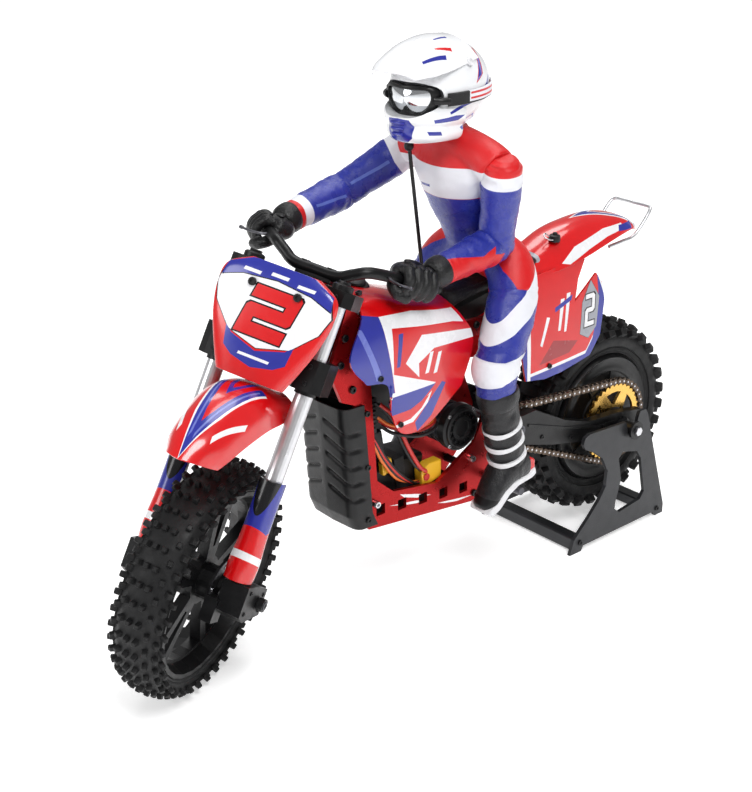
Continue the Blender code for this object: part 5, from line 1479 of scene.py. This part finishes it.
def boot(side, sign):
    """Boot with its cuff, straps, sole, toe cap and heel."""
    limb(f"rider_boot_{side}", mirrored_stations(BOOT, sign), BIKE, "chassis", "boot_leather", 48, 40, 0.3)
    cuff = [(152.4, 49, 166, 14.4, 15.2), (152, 49, 162, 15.2, 16), (151, 49, 157, 15, 15.8)]
    cuff.append((150, 49, 154, 14, 14.8))
    limb(f"boot_cuff_{side}", mirrored_stations(cuff, sign), BIKE, "chassis", "boot_leather", 16, 40, 0.0)
    for i, z in enumerate((135.0, 123.0, 111.0)):
        x = 139.0 + 9.0 * ((z - 104.0) / 40.0)
        strap = [(x - 0.4, 48.2, z - 1.6, 13.6, 14.3), (x - 0.2, 48.2, z - 1.0, 14.3, 15.0)]
        strap += [(x + 0.2, 48.2, z + 1.0, 14.3, 15.0), (x + 0.4, 48.2, z + 1.6, 13.6, 14.3)]
        strap = mirrored_stations(strap, sign)
        limb(f"boot_strap_{side}_{i}", strap, BIKE, "chassis", "strap_white", 12, 40, 0.0)
    sole = [(118, 93), (122, 90.4), (136, 88.4), (146, 83.6), (156, 74), (163, 70.6), (167.5, 73.6)]
    sole += [(166, 77), (159, 80), (150, 88), (140, 92.6), (127, 94.6), (119, 97)]
    rings = []
    for share, shrink in ((-1.0, 1.2), (-0.82, 0.0), (0.82, 0.0), (1.0, 1.2)):
        y = 48 * sign + 10.4 * share
        long, tall = 1 - shrink / 26, 1 - shrink / 14
        rings.append([(143 + (x - 143) * long, y, 84 + (z - 84) * tall) for x, z in sole])
    bm = bmesh.new()
    rings_into(bm, rings)
    bevelled(from_bmesh(f"boot_sole_{side}", bm, BIKE, "chassis", "strap_white"), 0.8)
    cap = [(156, 48, 84.5, 10.2, 8), (160.5, 48, 80, 10, 7.2), (164.5, 48, 76.4, 7.8, 5.4)]
    cap.append((166, 48, 75, 4.4, 3.4))
    limb(f"boot_toe_{side}", mirrored_stations(cap, sign), BIKE, "chassis", "black_plastic", 20, 36, 0.0)
    heel = [(118, 92), (128, 90.4), (129, 99), (124, 106), (118.5, 103)]
    slab(f"boot_heel_{side}", heel, 48 * sign - 8.6, 48 * sign + 8.6, BIKE, "chassis", "red_gloss", 1.6)


def arm_stations(start, end, shares):
    stations = []
    for share, radius in shares:
        centre = start.lerp(end, share)
        stations.append((centre.x, centre.y, centre.z, radius, radius))
    return stations


def arms():
    """Sleeves turn about the shoulder and elbow joints, and meet in a ball at each."""
    to_bike = BIKE.inverted()
    upper = [(-0.18, 7.0), (-0.13, 10.4), (-0.05, 12.9), (0.08, 14.0), (0.25, 14.2), (0.5, 13.4)]
    upper += [(0.75, 12.8), (0.92, 12.6), (1.04, 12.0), (1.14, 9.6), (1.20, 5.6)]
    lower = [(-0.18, 6.6), (-0.12, 10.2), (0.0, 12.6), (0.16, 13.2), (0.4, 12.4), (0.7, 11.2), (0.86, 10.2)]
    lower.append((0.93, 9.2))
    cuff = [(0.82, 9.4), (0.85, 10.9), (0.93, 11.0), (1.00, 9.8), (1.04, 7.8)]
    for side, sign in SIDES:
        shoulder = to_bike @ joint_place(f"shoulder_{side}")
        elbow = to_bike @ joint_place(f"elbow_{side}")
        grip = to_bike @ (BARS @ Vector((GRIP[0], sign * GRIP[1], GRIP[2])))
        wrist = grip + (elbow - grip).normalized() * 16.0
        stations = arm_stations(shoulder, elbow, upper)
        sleeve = limb(f"sleeve_{side}", stations, BIKE, f"upper_arm_{side}", "suit_blue", 60, 40, 1.0)
        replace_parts(sleeve, f"upper_arm_{side}")
        stations = arm_stations(elbow, wrist, lower)
        fore = limb(f"fore_sleeve_{side}", stations, BIKE, f"forearm_{side}", "suit_blue", 64, 40, 1.0)
        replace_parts(fore, f"forearm_{side}")
        paint_arm(sign, sleeve, fore, shoulder, elbow, wrist)
        stations = arm_stations(elbow, wrist, cuff)
        limb(f"glove_cuff_{side}", stations, BIKE, f"forearm_{side}", "glove_leather", 20, 36, 0.1)


def along_frame(start, end):
    """Limb coordinates: x along the limb, so that bands across it are upright lines."""
    ahead = (end - start).normalized()
    up = (Vector((0, 0, 1)) - ahead * ahead.z).normalized()
    return BIKE @ Matrix.Translation(start) @ axes(ahead, up.cross(ahead), up)


def paint_arm(sign, sleeve, fore, shoulder, elbow, wrist):
    """A red cap and a white band at the shoulder; the forearms are unlike each other.  The pale blue streaks
    along the sleeves are painted highlights.
    """
    reach = (elbow - shoulder).length
    wide = 8.0 if sign > 0 else 13.0
    layers = [
        ("suit_white", [(-3, -30), (wide, -30), (wide + 1, 0), (wide - 4, 30), (-6, 30), (-1, 0)], 0),
        ("suit_red", [(-30, -30), (-2, -30), (0, 0), (-5, 30), (-30, 30)], 0),
        # a painted highlight: a pale streak along the top of the upper sleeve
        ("suit_painted_highlight", [(reach * 0.3, 1), (reach * 0.85, 3), (reach * 0.85, 5), (reach * 0.3, 3.4)], 0),
    ]
    paint(sleeve, along_frame(shoulder, elbow), XZ_VIEW, layers)
    reach = (wrist - elbow).length
    if sign > 0:
        flash = [(2, -30), (8, -8), (4, -3), (14, 0), (12, 5), (24, 2), (45, 8), (80, 13), (80, -30)]
        layers = [("suit_red", flash, 0)]
    else:
        near, middle, far = reach * 0.66, reach * 0.78, reach * 1.1
        layers = [
            ("suit_white", [(near, -30), (middle, -30), (middle, 30), (near, 30)], 0),
            ("suit_red", [(middle, -30), (far, -30), (far, 30), (middle, 30)], 0),
            # a painted highlight: a pale streak along the top of the forearm
            ("suit_painted_highlight", [(reach * 0.15, 1), (reach * 0.6, 3), (reach * 0.6, 5), (reach * 0.15, 3)], 0),
        ]
    paint(fore, along_frame(elbow, wrist), XZ_VIEW, layers)


def helmet():
    """Shell and chin bar in one skin with the eye port cut out, then peak, goggles and vent."""
    bm = bmesh.new()
    ball_into(bm, (-1, 0, 1), (38.5, 30.5, 31.0), 48, 32)
    ball_into(bm, (7, 0, -13), (28, 25.5, 20), 48, 32)
    for height, reach, wide in ((-14.0, 31.0, 22.0), (-24.0, 30.0, 19.5)):
        chin = []
        for i in range(25):
            angle = math.radians(-88.0 + 176.0 * i / 24)
            chin.append(Vector((6.0 + reach * math.cos(angle), wide * math.sin(angle), height)))
        tube_into(bm, chin, [7.6] * 25, 20)
    ball_into(bm, (37.5, 0, -20), (8.0, 9.5, 9.5))
    dome = merged("helmet_shell", bm, HEAD, "head", "helmet_white", 0.9, 12)
    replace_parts(dome, "helmet")
    port = smooth_loop([(0, -13.5), (10, -13.0), (19, -9.0), (22.5, -2.0), (21, 4.6), (12, 8.0), (0, 8.6)])
    cut_with(dome, port, 14.0, 60.0, lambda u, v, w: (w, u, v))
    cut_with(dome, circle((0.0, 0.0), 60.0, 24), -60.0, -33.5, lambda u, v, w: (u, v, w))
    dome.data.shade_smooth()
    dome.data.set_sharp_from_angle(angle=math.radians(50.0))
    livery = [
        ("blue_gloss", [(22, -12), (-2, -6), (-18, 2), (-24, 8), (-20, 8), (-14, 3), (0, -3.6), (22, -10.6)]),
        ("blue_gloss", [(32, -17), (16, -16.4), (10, -13.6), (18, -13), (33, -14.6)]),
        ("blue_gloss", [(34, -25), (26, -25.6), (27, -23), (35, -22.4)]),
        ("lilac_gloss", [(12, -22), (-4, -15), (-8, -19), (10, -24)]),
        ("helmet_white", [(9, -21.6), (-3, -16.4), (-5.6, -18.6), (8, -23)]),
        ("red_gloss", [(-1, 5), (-14, 26), (-16, 24.6), (-11, 10)]),
        ("lilac_gloss", [(-2.6, 6.4), (-13, 23), (-14, 21.6), (-9.6, 10)]),
        ("blue_gloss", [(-4, 8.6), (-9, 16), (-8, 9.6)]),
        ("blue_gloss", [(16, -31), (-6, -31), (-8, -40), (30, -40), (30, -31)]),
    ]
    paint(dome, HEAD, XZ_VIEW, [(kind, outline, sign) for sign in (1, -1) for kind, outline in livery])
    mouth = [(0, -14), (8, -14.6), (10.5, -19), (9, -27), (4, -31), (-4, -31), (-9, -27), (-10.5, -19)]
    mouth.append((-8, -14.6))
    paint(dome, HEAD, YZ_VIEW, [("blue_gloss", mouth, 1)])
    peak()
    goggles()
    mouth_vent()


def peak():
    rows = [
        [(-6, 0, 34.5), (-6, 10, 33), (-7, 19, 28.4), (-9, 26, 20.5)],
        [(10, 0, 35.6), (10, 10, 34), (9, 19, 28.6), (5, 26.8, 18.6)],
        [(26, 0, 33), (26, 10, 32), (25, 18.5, 26.6), (19, 26, 16.2)],
        [(40, 0, 28), (40, 9.5, 27.6), (38, 17.5, 23), (32, 24.4, 14.6)],
        [(50, 0, 22.8), (50, 8, 23), (48, 15.5, 20.2), (42, 21.5, 13.8)],
        [(57, 0, 17.6), (56.4, 6.5, 18), (54.5, 13, 16.8), (49, 18.5, 13.2)],
    ]
    visor = shell("helmet_peak", rows, HEAD, (0, 0, 1), 1.5, "head", "helmet_white", (36, 40))
    livery = [
        ("red_gloss", [(12, 18.6), (25, 14.6), (25.6, 15.8), (13, 20.4)]),
        ("blue_gloss", [(20, 20.4), (40, 16.2), (40, 17.6), (21, 22)]),
        ("blue_gloss", [(6, 9), (18, 8), (18, 9.4), (6, 11)]),
    ]
    paint(visor, HEAD, XY_VIEW, both_halves(livery))
    ridges = bmesh.new()
    for y in (-9.0, 0.0, 9.0):
        ridge = [(4, y, 34.6 - y * y / 56), (22, y, 33.4 - y * y / 58), (38, y * 0.95, 28.6 - y * y / 90)]
        radii = [0.4 + 0.9 * math.sin(math.pi * i / 24) for i in range(25)]
        tube_into(ridges, smooth_points(ridge, 24), radii, 10, 0.6)
    from_bmesh("peak_ridges", ridges, HEAD, "head", "helmet_white")
    for side, sign in SIDES:
        place = (2, sign * 26.6, 19.4)
        bolts(f"peak_bolt_{side}", [place], (0, sign, 0.5), 2.6, 1.4, HEAD, "head", "strap_white")


def goggle_point(y, z, lift):
    return (37.5 + lift - y * y / 42.0 - 0.02 * z * z, y, z)


def goggles():
    """Frame and lens on the curve of the face, the strap round the shell and its two arms."""
    outer = [(0, -15.6), (7, -15.2), (14, -12.6), (19, -6.6), (20.6, 0.6), (18, 5.6), (9, 6.8), (0, 6.4)]
    inner = [(0, -7.4), (3, -11.4), (8, -12.6), (13, -10.2), (16.8, -4.8), (17.4, 0.4), (15, 3.6), (0, 4.2)]
    outer, inner = smooth_loop(outer), smooth_loop(inner)
    section = [(0.0, -2.5), (0.0, 1.0), (0.12, 1.9), (0.5, 2.1), (0.88, 1.9), (1.0, 1.2), (1.0, -1.0)]
    rows = []
    for share, lift in section:
        row = []
        for (au, av), (bu, bv) in zip(outer, inner):
            row.append(goggle_point(au + (bu - au) * share, av + (bv - av) * share, lift))
        rows.append(row)
    rim = skin("goggle_frame", rows, HEAD, "head", "black_plastic", closed=True)
    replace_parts(rim, "goggles")
    rows = []
    for i in range(21):
        share = i / 20
        size = 1.02 - share
        rows.append([goggle_point(y * size, -1.0 + (z + 1.0) * size, -0.2 + 1.0 * share) for y, z in inner])
    skin("goggle_lens", rows, HEAD, "head", "lens", closed=True)
    band = []
    for i in range(49):
        angle = math.radians(52.0 + 256.0 * i / 48)
        drop = -2.0 - 1.0 * math.cos(angle)
        band.append((-1.0 + 39.2 * math.cos(angle), 31.3 * math.sin(angle), drop))
    rows = []
    for lift, grow in ((-4.0, 0.0), (-3.6, 0.8), (3.6, 0.8), (4.0, 0.0)):
        rows.append([(x * (1 + grow / 40), y * (1 + grow / 32), z + lift) for x, y, z in band])
    strap = baked(thickened(skin("goggle_strap", rows, HEAD, "head", "suit_dark"), 0.8, 0.0))
    stripes = [
        ("suit_white", [(-40, -5), (8, -5), (8, 3), (-40, 3)]),
        ("suit_red", [(-40, -3.6), (7, -3.6), (7, -2.2), (-40, -2.2)]),
        ("suit_red", [(-40, -0.2), (7, -0.2), (7, 1.2), (-40, 1.2)]),
    ]
    paint(strap, HEAD, XZ_VIEW, both_sides(stripes))
    for side, sign in SIDES:
        arm = [(30.0, sign * 18.5, -2.6), (27.0, sign * 22.8, -3.0), (22.6, sign * 26.0, -3.2)]
        bm = bmesh.new()
        tube_into(bm, smooth_points(arm, 12), [2.9 - 0.05 * j for j in range(13)], 14)
        from_bmesh(f"goggle_arm_{side}", bm, HEAD, "head", "black_plastic")


def mouth_vent():
    bm = bmesh.new()
    for z, half in ((-17.0, 5.6), (-20.6, 5.0), (-24.2, 4.0)):
        steps = [half * (i / 6 - 1) for i in range(13)]
        tube_into(bm, [Vector((45.2 - y * y / 26.0, y, z)) for y in steps], [1.0] * 13, 10)
    from_bmesh("mouth_vent", bm, HEAD, "head", "blue_gloss")


def head_rod():
    keep_cad("head_link_rod", "black_plastic", 0)
    bm = bmesh.new()
    ball_into(bm, (190.0, -2.0, 335.5), (3.4, 3.4, 3.6))
    ball_into(bm, (178.0, -1.0, 244.5), (2.8, 2.8, 2.8))
    from_bmesh("rod_ends", bm, BIKE, "head_rod", "black_plastic")


# ---------------------------------------------------------------- assembly
camera()
leads()
tyres()
rear_wheel()
front_wheel()
chain()
sprockets()
rear_suspension()
stand()
frame_plates()
motor()
electronics()
radiator_guard()
tank_shroud()
seat()
tail()
fork()
bars()
gloves()
number_plate()
front_fender()
torso()
legs()
arms()
helmet()
head_rod()
studio()
